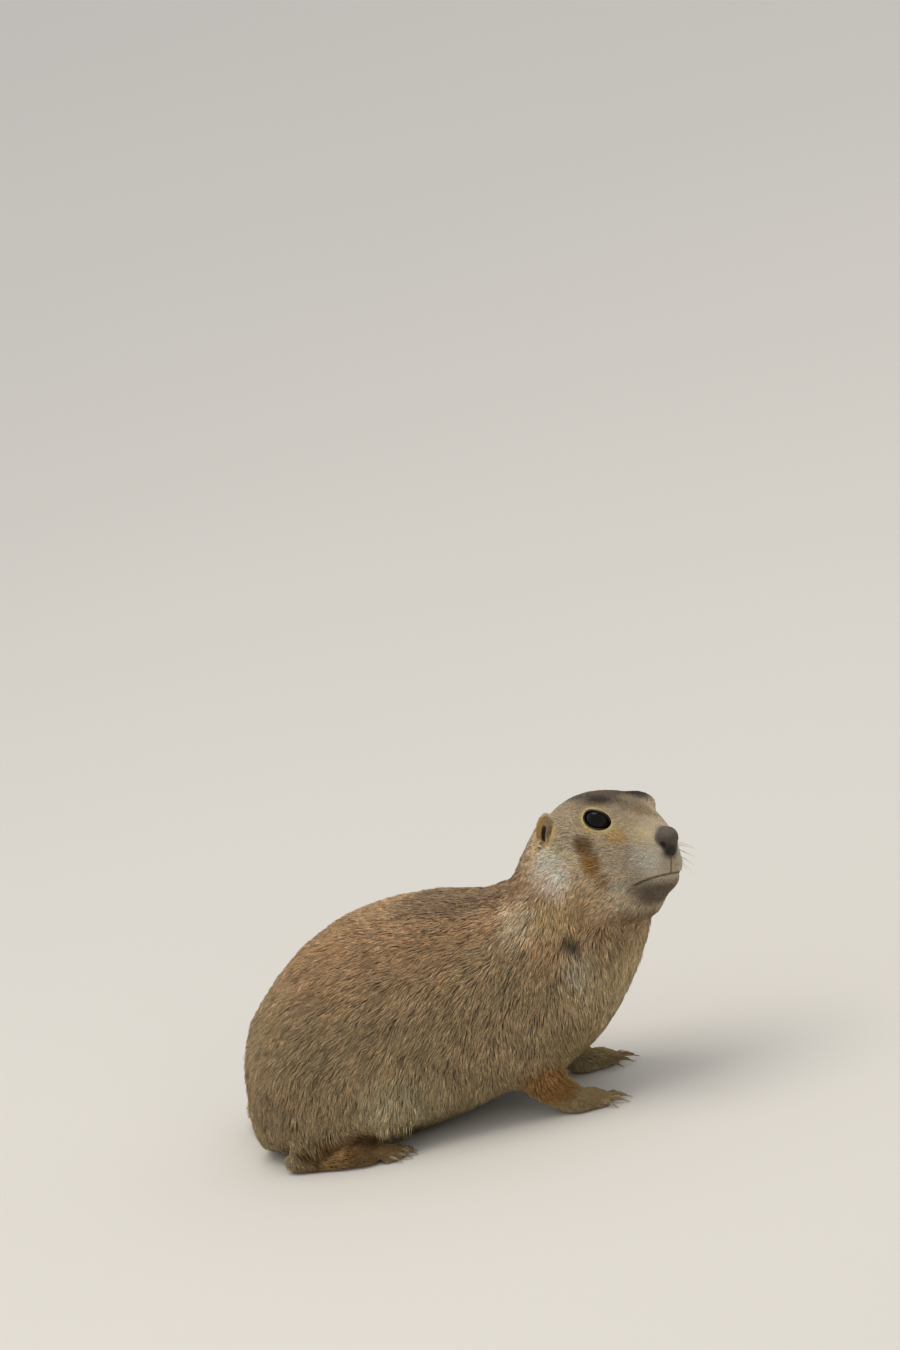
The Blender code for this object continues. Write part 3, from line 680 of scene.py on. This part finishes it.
# Hide under the coat: matt and finely grained, it shows dull between the tufts and on the nose
def skinMaterial():
    material, tree, shader = newMaterial("hideUnderFur", {"Roughness": 0.62, "Specular IOR Level": 0.3})
    grain = grainedMarksAndShading(tree, shader, 0.7, 3.0, 0.8, 1.15)
    bump = addNode(tree, "ShaderNodeBump", None, {
        "Height": grain.outputs["Fac"], "Strength": 0.35, "Distance": 0.12 * mm,
    })
    tree.links.new(bump.outputs["Normal"], shader.inputs["Normal"])
    return material


skin, outline = makeSkin()
skin.data.materials.clear()
skin.data.materials.append(skinMaterial())
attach(skin, "root")
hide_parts(*fleshNodes)
print("skin:", len(skin.data.polygons), "faces")

# Eyes: a dark ball with a clear bulge, deep between the lids

# Cornea over a near-black iris: wet, so it takes one clear soft reflection
def eyeMaterial():
    material, tree, shader = newMaterial("wetEye", {
        "Roughness": 0.05, "IOR": 1.336, "Specular IOR Level": 0.35,
    })
    ring = addNode(tree, "ShaderNodeAttribute", {"attribute_name": "fromPupil"})
    colourRamp(tree, shader, ring.outputs["Fac"], (
        (0.0, "#020202"), (0.4, "#030202"), (0.5, "#160c07"), (0.85, "#0f0906"), (1.0, "#060404"),
    ))
    return material


# The lid's bare edge: dark moist skin inside, pale buff on its upper side
def lidMaterial():
    material, tree, shader = newMaterial("lidEdge", {"Roughness": 0.45})
    grainedMarksAndShading(tree, shader, 0.5, 2.0, 0.8, 1.15)
    return material


def makeEyeball(side, place, material):
    bm = bmesh.new()
    bmesh.ops.create_uvsphere(bm, u_segments=64, v_segments=40, radius=eye["radius"])
    across = []
    for vertex in bm.verts:
        gap = math.acos(max(-1, min(1, vertex.co.z / eye["radius"])))
        vertex.co *= 1 + eye["bulge"] * max(0, 1 - (gap / eye["bulgeReach"]) ** 2)
        across.append(gap / eye["irisReach"])
    bmesh.ops.transform(bm, matrix=place, verts=bm.verts)
    mesh = meshFrom(f"eyeball{side}", bm)
    valueAttribute(mesh, "fromPupil", across)
    ball = newPiece(f"eyeball{side}", mesh, material)
    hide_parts(f"eye_{side.lower()}")


# The lids' edge: a small ring spun round, then drawn out to the almond that they leave open
def makeLidEdge(side, place, material):
    bm = bmesh.new()
    spun = 10  # mm, before it is drawn out
    ring = bmesh.ops.create_circle(bm, segments=12, radius=1)["verts"]
    bmesh.ops.scale(bm, verts=ring, vec=(lids["wide"], lids["thick"], 1))
    bmesh.ops.rotate(bm, verts=ring, matrix=Matrix.Rotation(math.pi / 2, 3, "X"))
    bmesh.ops.translate(bm, verts=ring, vec=(spun, 0, 0))
    bmesh.ops.spin(
        bm, geom=bm.verts[:] + bm.edges[:], axis=(0, 0, 1), cent=(0, 0, 0),
        angle=2 * math.pi, steps=80, use_merge=True,
    )
    shares = []
    for vertex in bm.verts:
        angle = math.atan2(vertex.co.y, vertex.co.x)
        out = math.hypot(vertex.co.x, vertex.co.y) - spun
        pull = cornerPull(angle)
        x = (lids["long"] + pull + out) * math.cos(angle)
        y = (lids["high"] + lids["cornerHigh"] * pull + out) * math.sin(angle)
        seat = math.sqrt(max(0, (eye["radius"] + lids["seat"]) ** 2 - x * x - y * y))
        vertex.co = (x, y, max(seat, lids["lowest"]) + vertex.co.z - lids["roll"] * out)
        shares.append(out / lids["wide"] + lids["paleAbove"] * abs(math.sin(angle)))
    bmesh.ops.transform(bm, matrix=place, verts=bm.verts)
    mesh = meshFrom(f"lidEdge{side}", bm)
    pale = ease(np.array(shares), *lids["pale"])[:, None]
    paintMesh(mesh, mix(linear(lids["moist"]), linear(eyeRim["colour"]), pale))
    newPiece(f"lidEdge{side}", mesh, material)


def makeEyes():
    wet, edge = eyeMaterial(), lidMaterial()
    for side in sides:
        place = eyePlace(side)
        makeEyeball(side, place, wet)
        makeLidEdge(side, place, edge)


makeEyes()
print("eyes made")

# Claws: slim, curved, flattened at the sides

# Horn: grey-brown with a satin gloss, streaked along its length
def clawMaterial():
    material, tree, shader = newMaterial("clawHorn", {"Roughness": 0.38})
    place = addNode(tree, "ShaderNodeTexCoord")
    turn = addNode(tree, "ShaderNodeMapping", None, {
        "Vector": place.outputs["Object"], "Scale": (1 / (3 * mm), 1 / (0.5 * mm), 1 / (0.5 * mm)),
    })
    streak = addNode(tree, "ShaderNodeTexNoise", None, {"Vector": turn.outputs["Vector"], "Scale": 1.0})
    colourRamp(tree, shader, streak.outputs["Fac"], ((0.3, "#5d4a36"), (0.7, "#a58f70")))
    return material


# A cone one unit long, cut across so that it can bend
def taperedRod(thick, thin, segments, cuts):
    bm = bmesh.new()
    bmesh.ops.create_cone(bm, cap_ends=True, segments=segments, radius1=thick, radius2=thin, depth=1)
    upright = [edge for edge in bm.edges if abs(edge.verts[0].co.z - edge.verts[1].co.z) > 0.5]
    bmesh.ops.subdivide_edges(bm, edges=upright, cuts=cuts)
    return bm


def makeClaws():
    horn = clawMaterial()
    for foot in ("fore", "hind"):
        sizes = claws[foot]
        for side in sides:
            bm = bmesh.new()
            for base, way, reach in toesOf(foot, side):
                tip = base + way * (reach + claws["start"])
                across = Vector((-way.y, way.x, 0))
                rod = taperedRod(claws["thick"], claws["point"], 10, 6)
                for vertex in rod.verts:
                    share = min(max(vertex.co.z + 0.5, 0), 1)
                    middle = share * (1 - share)
                    swell = 1 - claws["thin"] * share + claws["swell"] * middle
                    arch = sizes["radius"] * (1 - share ** claws["droop"])
                    arch += claws["lift"] + claws["arch"] * middle
                    spot = tip + way * (share * (sizes["radius"] + sizes["long"]))
                    spot += across * vertex.co.x * claws["flat"] * swell
                    spot.z = max(arch + vertex.co.y * swell, claws["lowest"])
                    vertex.co = spot
                joinInto(bm, rod)
            name = f"claws{foot.capitalize()}{side}"
            newPiece(name, meshFrom(name, bm), horn)


makeClaws()
print("claws made")

# Coat: every tuft a thin bent spike of three sides, root in the skin, tip at the outline

tufts = {
    "cell": {"body": 0.64, "neck": 0.56, "head": 0.425, "foot": 0.44},  # mm between roots
    "neckHalf": 0.3, "quickCell": 1.6, "draws": 2.6, "cube": 1.12, "perPiece": 19000,
    "width": (0.75, 1.15), "sink": 0.35, "rootWide": 0.4, "middleWide": 0.5, "lowest": 0.25,
    "bakeSquare": 0.003,
}
feet = {"below": (8, 14), "foreFrom": 30, "hindTo": -25, "hindOut": 38, "hindBelow": 9}
bareSkin = {
    "around": {"line": 0.35, "ear": 1.05, "lids": 1.1, "ball": eye["radius"] + 0.35},
    "floor": 0.7, "sole": 2.2, "soleDown": -0.3, "nose": ((28.6, 0, -10), (4.6, 5.4, 3.6)),
}
keptClear = {"line": 0.6, "ear": 0.9, "lids": 1.02, "ball": 0}


# The number of the small cube that holds each point
def cubeOf(points, size):
    cubes = np.floor(points / size).astype(np.int64)
    return (cubes[:, 0] * 100003 + cubes[:, 1]) * 100003 + cubes[:, 2]


# How far apart the roots stand at each place, in mm
def cellAt(places):
    cells = tufts["cell"]
    side, _ = folded(places, midline)
    x, out, z = side.T
    foot = (1 - ease(z, *feet["below"])) > 0.5
    hind = (x < feet["hindTo"]) & (out > feet["hindOut"]) & (z < feet["hindBelow"])
    foot &= (x > feet["foreFrom"]) | hind
    share = headShare(places)
    neck = np.exp(-((share - 0.5) / tufts["neckHalf"]) ** 2)
    cell = cells["body"] * (1 - share) + cells["head"] * share
    cell = np.minimum(cell, cells["body"] + (cells["neck"] - cells["body"]) * neck)
    cell = np.where(foot, cells["foot"], cell)
    return cell


# Points spread evenly over the skin, closer on the head and feet
def scatterRoots():
    mesh = skin.data
    mesh.calc_loop_triangles()
    count = len(mesh.loop_triangles)
    corners = np.empty(count * 3, np.int32)
    mesh.loop_triangles.foreach_get("vertices", corners)
    corners = corners.reshape(-1, 3)
    points, normals = pointsOf(mesh), eachVertex(mesh, "normal")
    a, b, c = (points[corners[:, k]] for k in range(3))
    area = np.linalg.norm(np.cross(b - a, c - a), axis=1) / 2
    cell = cellAt((a + b + c) / 3)
    many = rng.poisson(area / cell ** 2 * tufts["draws"])
    pick = np.repeat(np.arange(count), many)
    u, v = rng.random(len(pick)), rng.random(len(pick))
    flip = u + v > 1
    u[flip], v[flip] = 1 - u[flip], 1 - v[flip]
    w = 1 - u - v
    roots = a[pick] * w[:, None] + b[pick] * u[:, None] + c[pick] * v[:, None]
    out = unit(sum(normals[corners[pick, k]] * s[:, None] for k, s in enumerate((w, u, v))))
    # One root in each small cube of the local spacing keeps them even
    gap = np.round(cell[pick], 2)
    kept = []
    for size in np.unique(gap):
        chosen = np.where(gap == size)[0]
        _, first = np.unique(cubeOf(roots[chosen], size * tufts["cube"]), return_index=True)
        kept.append(chosen[first])
    kept = np.concatenate(kept)
    return roots[kept], out[kept]


# True over the line of the lips, the ear's opening, the gap between the lids or the eyeball
def overOpenings(points, edges):
    found = (fineLines(points) > edges["line"]) | (roundEar(points) < edges["ear"])
    for side in sides:
        size, near = roundEye(points, side)
        found |= (size < edges["lids"]) | (np.linalg.norm(near, axis=1) < edges["ball"])
    return found


# True where no hair grows: at the openings, under the nose, on the soles and at the claws
def bareAt(points, normals):
    bare = overOpenings(points, bareSkin["around"]) | onClaws(points)
    bare |= points[:, 2] < bareSkin["floor"]
    bare |= (points[:, 2] < bareSkin["sole"]) & (normals[:, 2] < bareSkin["soleDown"])
    return bare | (gapFrom(onHead(points), *bareSkin["nose"]) < 1)


# Points that stand out of the coat's own outline by more than some mm are laid back on it
def heldIn(points, allowed):
    held = points.copy()
    for k, point in enumerate(points.tolist()):
        place, normal, _, _ = outline.find_nearest(point)
        over = (Vector(point) - place).dot(normal) - allowed
        if over > 0:
            held[k] = Vector(point) - normal * over
    return held


# How a tuft bends: turns to one side by waves of some strength, mm from crest to crest and seed,
# and leans toward its lock by a share that comes in between two lengths
bend = {
    "at": 0.5, "sway": 0.16, "waves": ((0.15, 14, 11), (0.12, 5, 12)), "length": (0.8, 1.12),
    "rise": (0.55, 1.05), "middleRise": 0.78, "lockGap": 1.4, "lean": ((0.45, 2, 6), (0.2, 9, 12)),
    "middleLean": 0.35, "middleOut": 0.2, "tipOut": 0.9,
}


# Middle and tip of each tuft, gathered a little into locks
def bendTips(roots, out, way, length, rise):
    count = len(roots)
    sideways = np.cross(out, way)
    sway = rng.normal(0, bend["sway"], count)
    for far, size, seed in bend["waves"]:
        sway += far * ripple(roots, size, seed)
    way = unit(way + sideways * sway[:, None])
    length = length * rng.uniform(*bend["length"], count)
    rise = rise * rng.uniform(*bend["rise"], count)
    tip = roots + way * length[:, None] + out * rise[:, None]
    middle = roots + way * (length * bend["at"])[:, None] + out * (rise * bend["middleRise"])[:, None]
    # Locks: the tips lean toward a shared one nearby
    _, leaders = np.unique(cubeOf(roots, bend["lockGap"]), return_index=True)
    tree = KDTree(len(leaders))
    for k, leader in enumerate(leaders):
        tree.insert(roots[leader], k)
    tree.balance()
    lock = np.array([leaders[tree.find(root)[1]] for root in roots.tolist()])
    lean = sum(share * ease(length, *between) for share, *between in bend["lean"])[:, None]
    tip = tip + (tip[lock] - tip) * lean
    middle = middle + (middle[lock] - middle) * (lean * bend["middleLean"])
    return heldIn(middle, bend["middleOut"]), heldIn(tip, bend["tipOut"]), lock


# The tufts shade one another, the longer the more, so their own colour is lighter than the coat looks
coatTone = {
    "grizzled": (1.5, 6), "white": (0.42, 0.72), "short": 1.12, "long": 1.75, "head": 0.2, "most": 0.88,
    "even": 0.25, "byLock": 0.18, "byTuft": 0.15, "calmWhite": 0.6, "cloud": (0.07, 18, 21),
    "range": (0.5, 1.6),
    "streak": 0.16, "streakSize": (7.0, 7.0, 1.0), "streakSeed": 31, "streakRange": (-0.3, 1.6),
    "streakBelow": (2, 8), "streakFrom": (-30, -18), "warm": 0.06, "warmSize": 4, "warmSeed": 22,
    "tip": 1.08, "tipPale": 0.3, "pale": "#d8c39a", "paleAbove": 0.42, "paleShare": 0.17,
    "dark": "#33261b", "darkBelow": 0.28, "darkShare": 0.55, "middle": 0.16, "middleHead": 0.6,
    "root": 0.5, "rootShort": 0.35, "rootHead": 0.18, "rootWhite": 0.9,
}


# Root, middle and tip colours: dark underfur, a band, then a tip that is pale or dark
def tuftColours(roots, lock, length):
    look = coatTone
    ground = marksAndShadingAt(roots)
    count = len(roots)
    local = inHead(roots)
    share = headShare(roots)
    grizzle = ease(length, *look["grizzled"])
    white = ease(ground.mean(1), *look["white"])
    lockTone = rng.normal(0, 1, count)[lock]
    varied = look["byLock"] * lockTone + look["byTuft"] * rng.normal(0, 1, count)
    tone = 1 + (look["even"] + (1 - look["even"]) * grizzle) * varied * (1 - look["calmWhite"] * white)
    tone += look["cloud"][0] * ripple(roots, *look["cloud"][1:])
    streaks = ripple(local, look["streakSize"], look["streakSeed"]) * share
    streaks *= ease(-local[:, 2], *look["streakBelow"]) * ease(local[:, 0], *look["streakFrom"])
    tone = np.clip(tone * (1 - look["streak"] * np.clip(streaks, *look["streakRange"])), *look["range"])
    tone *= (look["short"] + (look["long"] - look["short"]) * grizzle) * (1 + look["head"] * share)
    warm = (rng.normal(0, 1, count) + ripple(roots, look["warmSize"], look["warmSeed"])) / 2
    warm = np.clip(warm, -1, 1)[:, None] * np.array((1, 0, -1))
    band = ground * tone[:, None] * (1 + look["warm"] * warm)
    draw = (rng.random(count)[lock] + rng.random(count)) / 2
    pale = np.where(draw > look["paleAbove"], grizzle, 0)[:, None]
    dark = np.where(draw < look["darkBelow"], grizzle * (1 - white), 0)[:, None]
    tip = band * (look["tip"] + look["tipPale"] * pale)
    tip = mix(tip, linear(look["pale"]), look["paleShare"] * pale)
    tip = mix(tip, linear(look["dark"]), look["darkShare"] * dark)
    middle = band * (1 - look["middle"] * grizzle * (1 - look["middleHead"] * share))[:, None]
    shade = look["root"] + look["rootShort"] * (1 - grizzle) + look["rootHead"] * share * grizzle
    root = band * mix(shade, look["rootWhite"], white)[:, None]
    return [each * np.minimum(1, look["most"] / each.max(1, keepdims=True)) for each in (root, middle, tip)]


# For each tuft a small square of its own, in the order of an unwrap round the piece's own axis
def bakeCorners(roots):
    count = len(roots)
    centre = roots.mean(0)
    sample = (roots - centre)[::max(1, count // 4000)]
    local = (roots - centre) @ np.linalg.svd(sample, full_matrices=False)[2].T
    turn = np.arctan2(local[:, 2], local[:, 1])
    columns = math.ceil(math.sqrt(count))
    column = np.empty(count, int)
    column[np.argsort(local[:, 0], kind="stable")] = np.arange(count) * columns // count
    corner = np.empty((count, 2))
    for k in range(columns):
        inside = np.where(column == k)[0]
        inside = inside[np.argsort(turn[inside], kind="stable")]
        corner[inside, 0] = (k + 0.2) / columns
        corner[inside, 1] = (np.arange(len(inside)) + 0.2) / max(len(inside), 1)
    return corner


# One mesh of closed three-sided spikes: a root ring, a middle ring and a tip each
def tuftMesh(name, roots, out, middle, tip, width, colours):
    count = len(roots)
    ahead = unit(middle - roots)
    side = unit(np.cross(ahead, out))
    over = np.cross(side, ahead)
    verts = np.empty((count, 7, 3))
    for k in range(3):
        angle = math.radians(90 + 120 * k)
        spoke = side * math.cos(angle) + over * math.sin(angle)
        verts[:, k] = roots - out * tufts["sink"] + spoke * (width * tufts["rootWide"])[:, None]
        verts[:, 3 + k] = middle + spoke * (width * tufts["middleWide"])[:, None]
    verts[:, 6] = tip
    verts[:, :, 2] = np.maximum(verts[:, :, 2], tufts["lowest"])
    pattern = [0, 2, 1]
    for k in range(3):
        n = (k + 1) % 3
        pattern += [k, n, 3 + n, k, 3 + n, 3 + k, 3 + k, 3 + n, 6]
    pattern = np.array(pattern)
    loops = (np.arange(count)[:, None] * 7 + pattern[None]).ravel().astype(np.int32)
    faces = len(loops) // 3
    mesh = bpy.data.meshes.new(name)
    mesh.vertices.add(count * 7)
    mesh.vertices.foreach_set("co", (verts * mm).astype(np.float32).ravel())
    mesh.loops.add(len(loops))
    mesh.loops.foreach_set("vertex_index", loops)
    mesh.polygons.add(faces)
    mesh.polygons.foreach_set("loop_start", np.arange(0, len(loops), 3, dtype=np.int32))
    mesh.polygons.foreach_set("loop_total", np.full(faces, 3, np.int32))
    mesh.polygons.foreach_set("use_smooth", np.ones(faces, bool))
    mesh.update(calc_edges=True)
    rows = np.stack([colours[0]] * 3 + [colours[1]] * 3 + [colours[2]], 1)
    paintMesh(mesh, rows.reshape(-1, 3))
    square = np.array([(0, 0), (0.5, 0), (1, 0), (0, 0.5), (0.5, 0.5), (1, 0.5), (0.5, 1)])
    places = (bakeCorners(roots)[:, None] + square[None] * tufts["bakeSquare"]).reshape(-1, 2)
    layer = mesh.uv_layers.new(name="OFBake")
    layer.data.foreach_set("uv", places[loops].astype(np.float32).ravel())
    return mesh


# Guard hair: matt with a faint gloss along it, its colour broken up from hair to hair
def coatMaterial():
    material, tree, shader = newMaterial("guardHair", {"Roughness": 0.7, "Specular IOR Level": 0.22})
    grainedMarksAndShading(tree, shader, 0.9, 2.0, 0.86, 1.14)
    return material


regionEdge = {"backOut": 30, "backAbove": 60, "rumpTo": -55, "breastFrom": 30, "feetBelow": 12}


# The name of the coat piece that each root belongs to
def regionOf(roots):
    side, _ = folded(roots, midline)
    x, z = roots[:, 0], roots[:, 2]
    left = roots[:, 1] > midline
    names = np.where(left, "coatFlankLeft", "coatFlankRight").astype(object)
    names[(side[:, 1] < regionEdge["backOut"]) & (z > regionEdge["backAbove"])] = "coatBack"
    rump = x < regionEdge["rumpTo"]
    names[rump] = np.where(left[rump], "coatRumpLeft", "coatRumpRight")
    ahead = x > regionEdge["breastFrom"]
    names[ahead] = np.where(z[ahead] > regionEdge["feetBelow"], "coatBreast", "coatForefeet")
    head = headShare(roots) > 0.5
    names[head] = np.where(inHead(roots[head])[:, 1] > 0, "coatFaceLeft", "coatFaceRight")
    return names


def makeCoat():
    roots, out = scatterRoots()
    kept = ~bareAt(roots, out)
    roots, out = roots[kept], out[kept]
    depth, length, width = coatAt(roots).T
    way = lieAt(roots, out)
    middle, tip, lock = bendTips(roots, out, way, length, depth)
    colours = tuftColours(roots, lock, length)
    width = width * rng.uniform(*tufts["width"], len(roots))
    clear = ~(overOpenings(tip, keptClear) | overOpenings(middle, keptClear))
    hair = coatMaterial()
    region = regionOf(roots)
    total = 0
    for name in sorted(set(region)):
        inside = np.where((region == name) & clear)[0]
        inside = inside[np.argsort(roots[inside, 0])]
        pieces = math.ceil(len(inside) / tufts["perPiece"])
        for k, part in enumerate(np.array_split(inside, pieces)):
            title = f"{name}{k + 1}" if pieces > 1 else name
            mesh = tuftMesh(
                title, roots[part], out[part], middle[part], tip[part], width[part],
                [colour[part] for colour in colours],
            )
            newPiece(title, mesh, hair)
            total += len(part)
            print("  ", title, len(part), "tufts")
    return total


print("coat:", makeCoat(), "tufts")

# Whiskers: a fan of long fine bristles from each pad, in rows from its back forward and down
whiskers = {
    "rows": 4, "inRow": 4, "long": (9, 17), "varied": 0.8, "radius": 0.09, "point": 0.03,
    "sag": (-0.27, 0, -0.105), "pad": (19, 9, -14),
    "spot": ((15.5, 11, -10.5), (2.4, 0, 0), (-0.5, 0, -2.5)),
    "way": ((-0.35, 0.85, -0.12), (0.22, -0.05, 0), (0, 0, -0.12)),
}


# Bristle: dark brown keratin with a soft gloss, paler toward the tip
def whiskerMaterial():
    material, tree, shader = newMaterial("whiskerBristle", {"Roughness": 0.45})
    along = addNode(tree, "ShaderNodeAttribute", {"attribute_name": "along"})
    colourRamp(tree, shader, along.outputs["Fac"], ((0.0, "#3a2c20"), (1.0, "#c9bda4")))
    return material


# A start, and the steps from it for the k-th hair of a row
def stepped(kind, k, row):
    start, hair, down = (np.array(part) for part in whiskers[kind])
    return start + k * hair + row * down


def makeWhiskers():
    tree = BVHTree.FromObject(skin, bpy.context.evaluated_depsgraph_get())
    bristle = whiskerMaterial()
    turned = headPlace.to_3x3()
    sag = turned @ Vector(whiskers["sag"])
    least, most = whiskers["long"]
    for side in sides:
        bm = bmesh.new()
        for row in range(whiskers["rows"]):
            for k in range(whiskers["inRow"]):
                root = tree.find_nearest(headPlace @ sided(stepped("spot", k, row), side) * mm)[0] / mm
                way = (turned @ sided(stepped("way", k, row), side)).normalized()
                long = (1 - k / whiskers["inRow"]) * rng.uniform(whiskers["varied"], 1)
                long = least + (most - least) * long
                turn = way.to_track_quat("Z", "Y")
                rod = taperedRod(whiskers["radius"], whiskers["point"], 5, 6)
                for vertex in rod.verts:
                    share = vertex.co.z + 0.5
                    ring = turn @ Vector((vertex.co.x, vertex.co.y, 0))
                    vertex.co = root + ring + way * (long * share) + sag * (long * share * share)
                joinInto(bm, rod)
        name = f"whiskers{side}"
        mesh = meshFrom(name, bm)
        reach = np.linalg.norm(pointsOf(mesh) - np.array(headPlace @ sided(whiskers["pad"], side)), axis=1)
        valueAttribute(mesh, "along", reach / most)
        newPiece(name, mesh, bristle)


makeWhiskers()
print("whiskers made")

# Studio: a pale floor, soft light from above and the photograph's framing

studio = {
    "floor": "#d9d5cc", "floorPale": "#dedad2", "floorSize": 30.0, "sky": "#f2f3f6", "skyStrength": 0.75,
    "scale": 0.42, "imageWidth": 900, "imageHeight": 1350, "subject": (575, 1108),
    "anchor": (40.86, -23.56, 0), "azimuth": 20, "elevation": 17, "roll": 16, "away": 5.0,
}


def makeFloor():
    bm = bmesh.new()
    bmesh.ops.create_grid(bm, x_segments=4, y_segments=4, size=studio["floorSize"] / 2 / mm)
    mesh = meshFrom("floor", bm, smooth=False)
    material, tree, shader = newMaterial("pressedPaper", {"Roughness": 0.85})
    place = addNode(tree, "ShaderNodeTexCoord")
    cloud = addNode(tree, "ShaderNodeTexNoise", None, {"Vector": place.outputs["Object"], "Scale": 1.5})
    colourRamp(tree, shader, cloud.outputs["Fac"], ((0, studio["floor"]), (1, studio["floorPale"])))
    mesh.materials.append(material)
    addObject("floor", mesh)


lights = {
    "overheadSoftbox": {
        "at": (-0.25, -0.15, 1.6), "aim": (0, 0, 0.05), "size": 1.3, "power": 11, "hue": "#fff8ee",
    },
    "frontFill": {
        "at": (1.3, -1.6, 0.9), "aim": (0.02, 0, 0.06), "size": 1.0, "power": 4.5, "hue": "#fff7ec",
    },
}


def makeLights():
    world = bpy.data.worlds.new("softRoom")
    bpy.context.scene.world = world
    world.use_nodes = True
    ground = world.node_tree.nodes["Background"]
    ground.inputs["Color"].default_value = (*linear(studio["sky"]), 1)
    ground.inputs["Strength"].default_value = studio["skyStrength"]
    for name, look in lights.items():
        light = bpy.data.lights.new(name, "AREA")
        light.shape = "DISK"
        light.size = look["size"]
        light.energy = look["power"]
        light.color = tuple(linear(look["hue"]))
        lamp = addObject(name, light)
        lamp.location = look["at"]
        lamp.rotation_mode = "QUATERNION"
        lamp.rotation_quaternion = (Vector(look["aim"]) - Vector(look["at"])).to_track_quat("-Z", "Y")
        lamp.visible_glossy = name == "overheadSoftbox"  # one clear reflection in each eye


# A long lens from the side, rolled as the slope in the photograph asks, at the photograph's scale
def makeCamera():
    a, e, r = (math.radians(studio[key]) for key in ("azimuth", "elevation", "roll"))
    back = Vector((math.sin(a) * math.cos(e), -math.cos(a) * math.cos(e), math.sin(e)))
    right = Vector((math.cos(a), math.sin(a), 0))
    upward = back.cross(right)
    imageRight = right * math.cos(r) - upward * math.sin(r)
    imageUp = right * math.sin(r) + upward * math.cos(r)
    offX = (studio["imageWidth"] / 2 - studio["subject"][0]) * studio["scale"]
    offY = (studio["subject"][1] - studio["imageHeight"] / 2) * studio["scale"]
    aim = (Vector(studio["anchor"]) + imageRight * offX + imageUp * offY) * mm
    view = bpy.data.cameras.new("longLens")
    view.sensor_width = 36
    view.lens = 36 * studio["away"] / (studio["imageHeight"] * studio["scale"] * mm)
    view.clip_end = 100
    camera = addObject("longLens", view)
    camera.location = aim + back * studio["away"]
    turn = Matrix((imageRight, imageUp, back)).transposed()
    camera.rotation_mode = "QUATERNION"
    camera.rotation_quaternion = turn.to_quaternion()
    bpy.context.scene.camera = camera


makeFloor()
makeLights()
makeCamera()
bpy.context.scene.view_settings.view_transform = "Standard"
print("studio made")
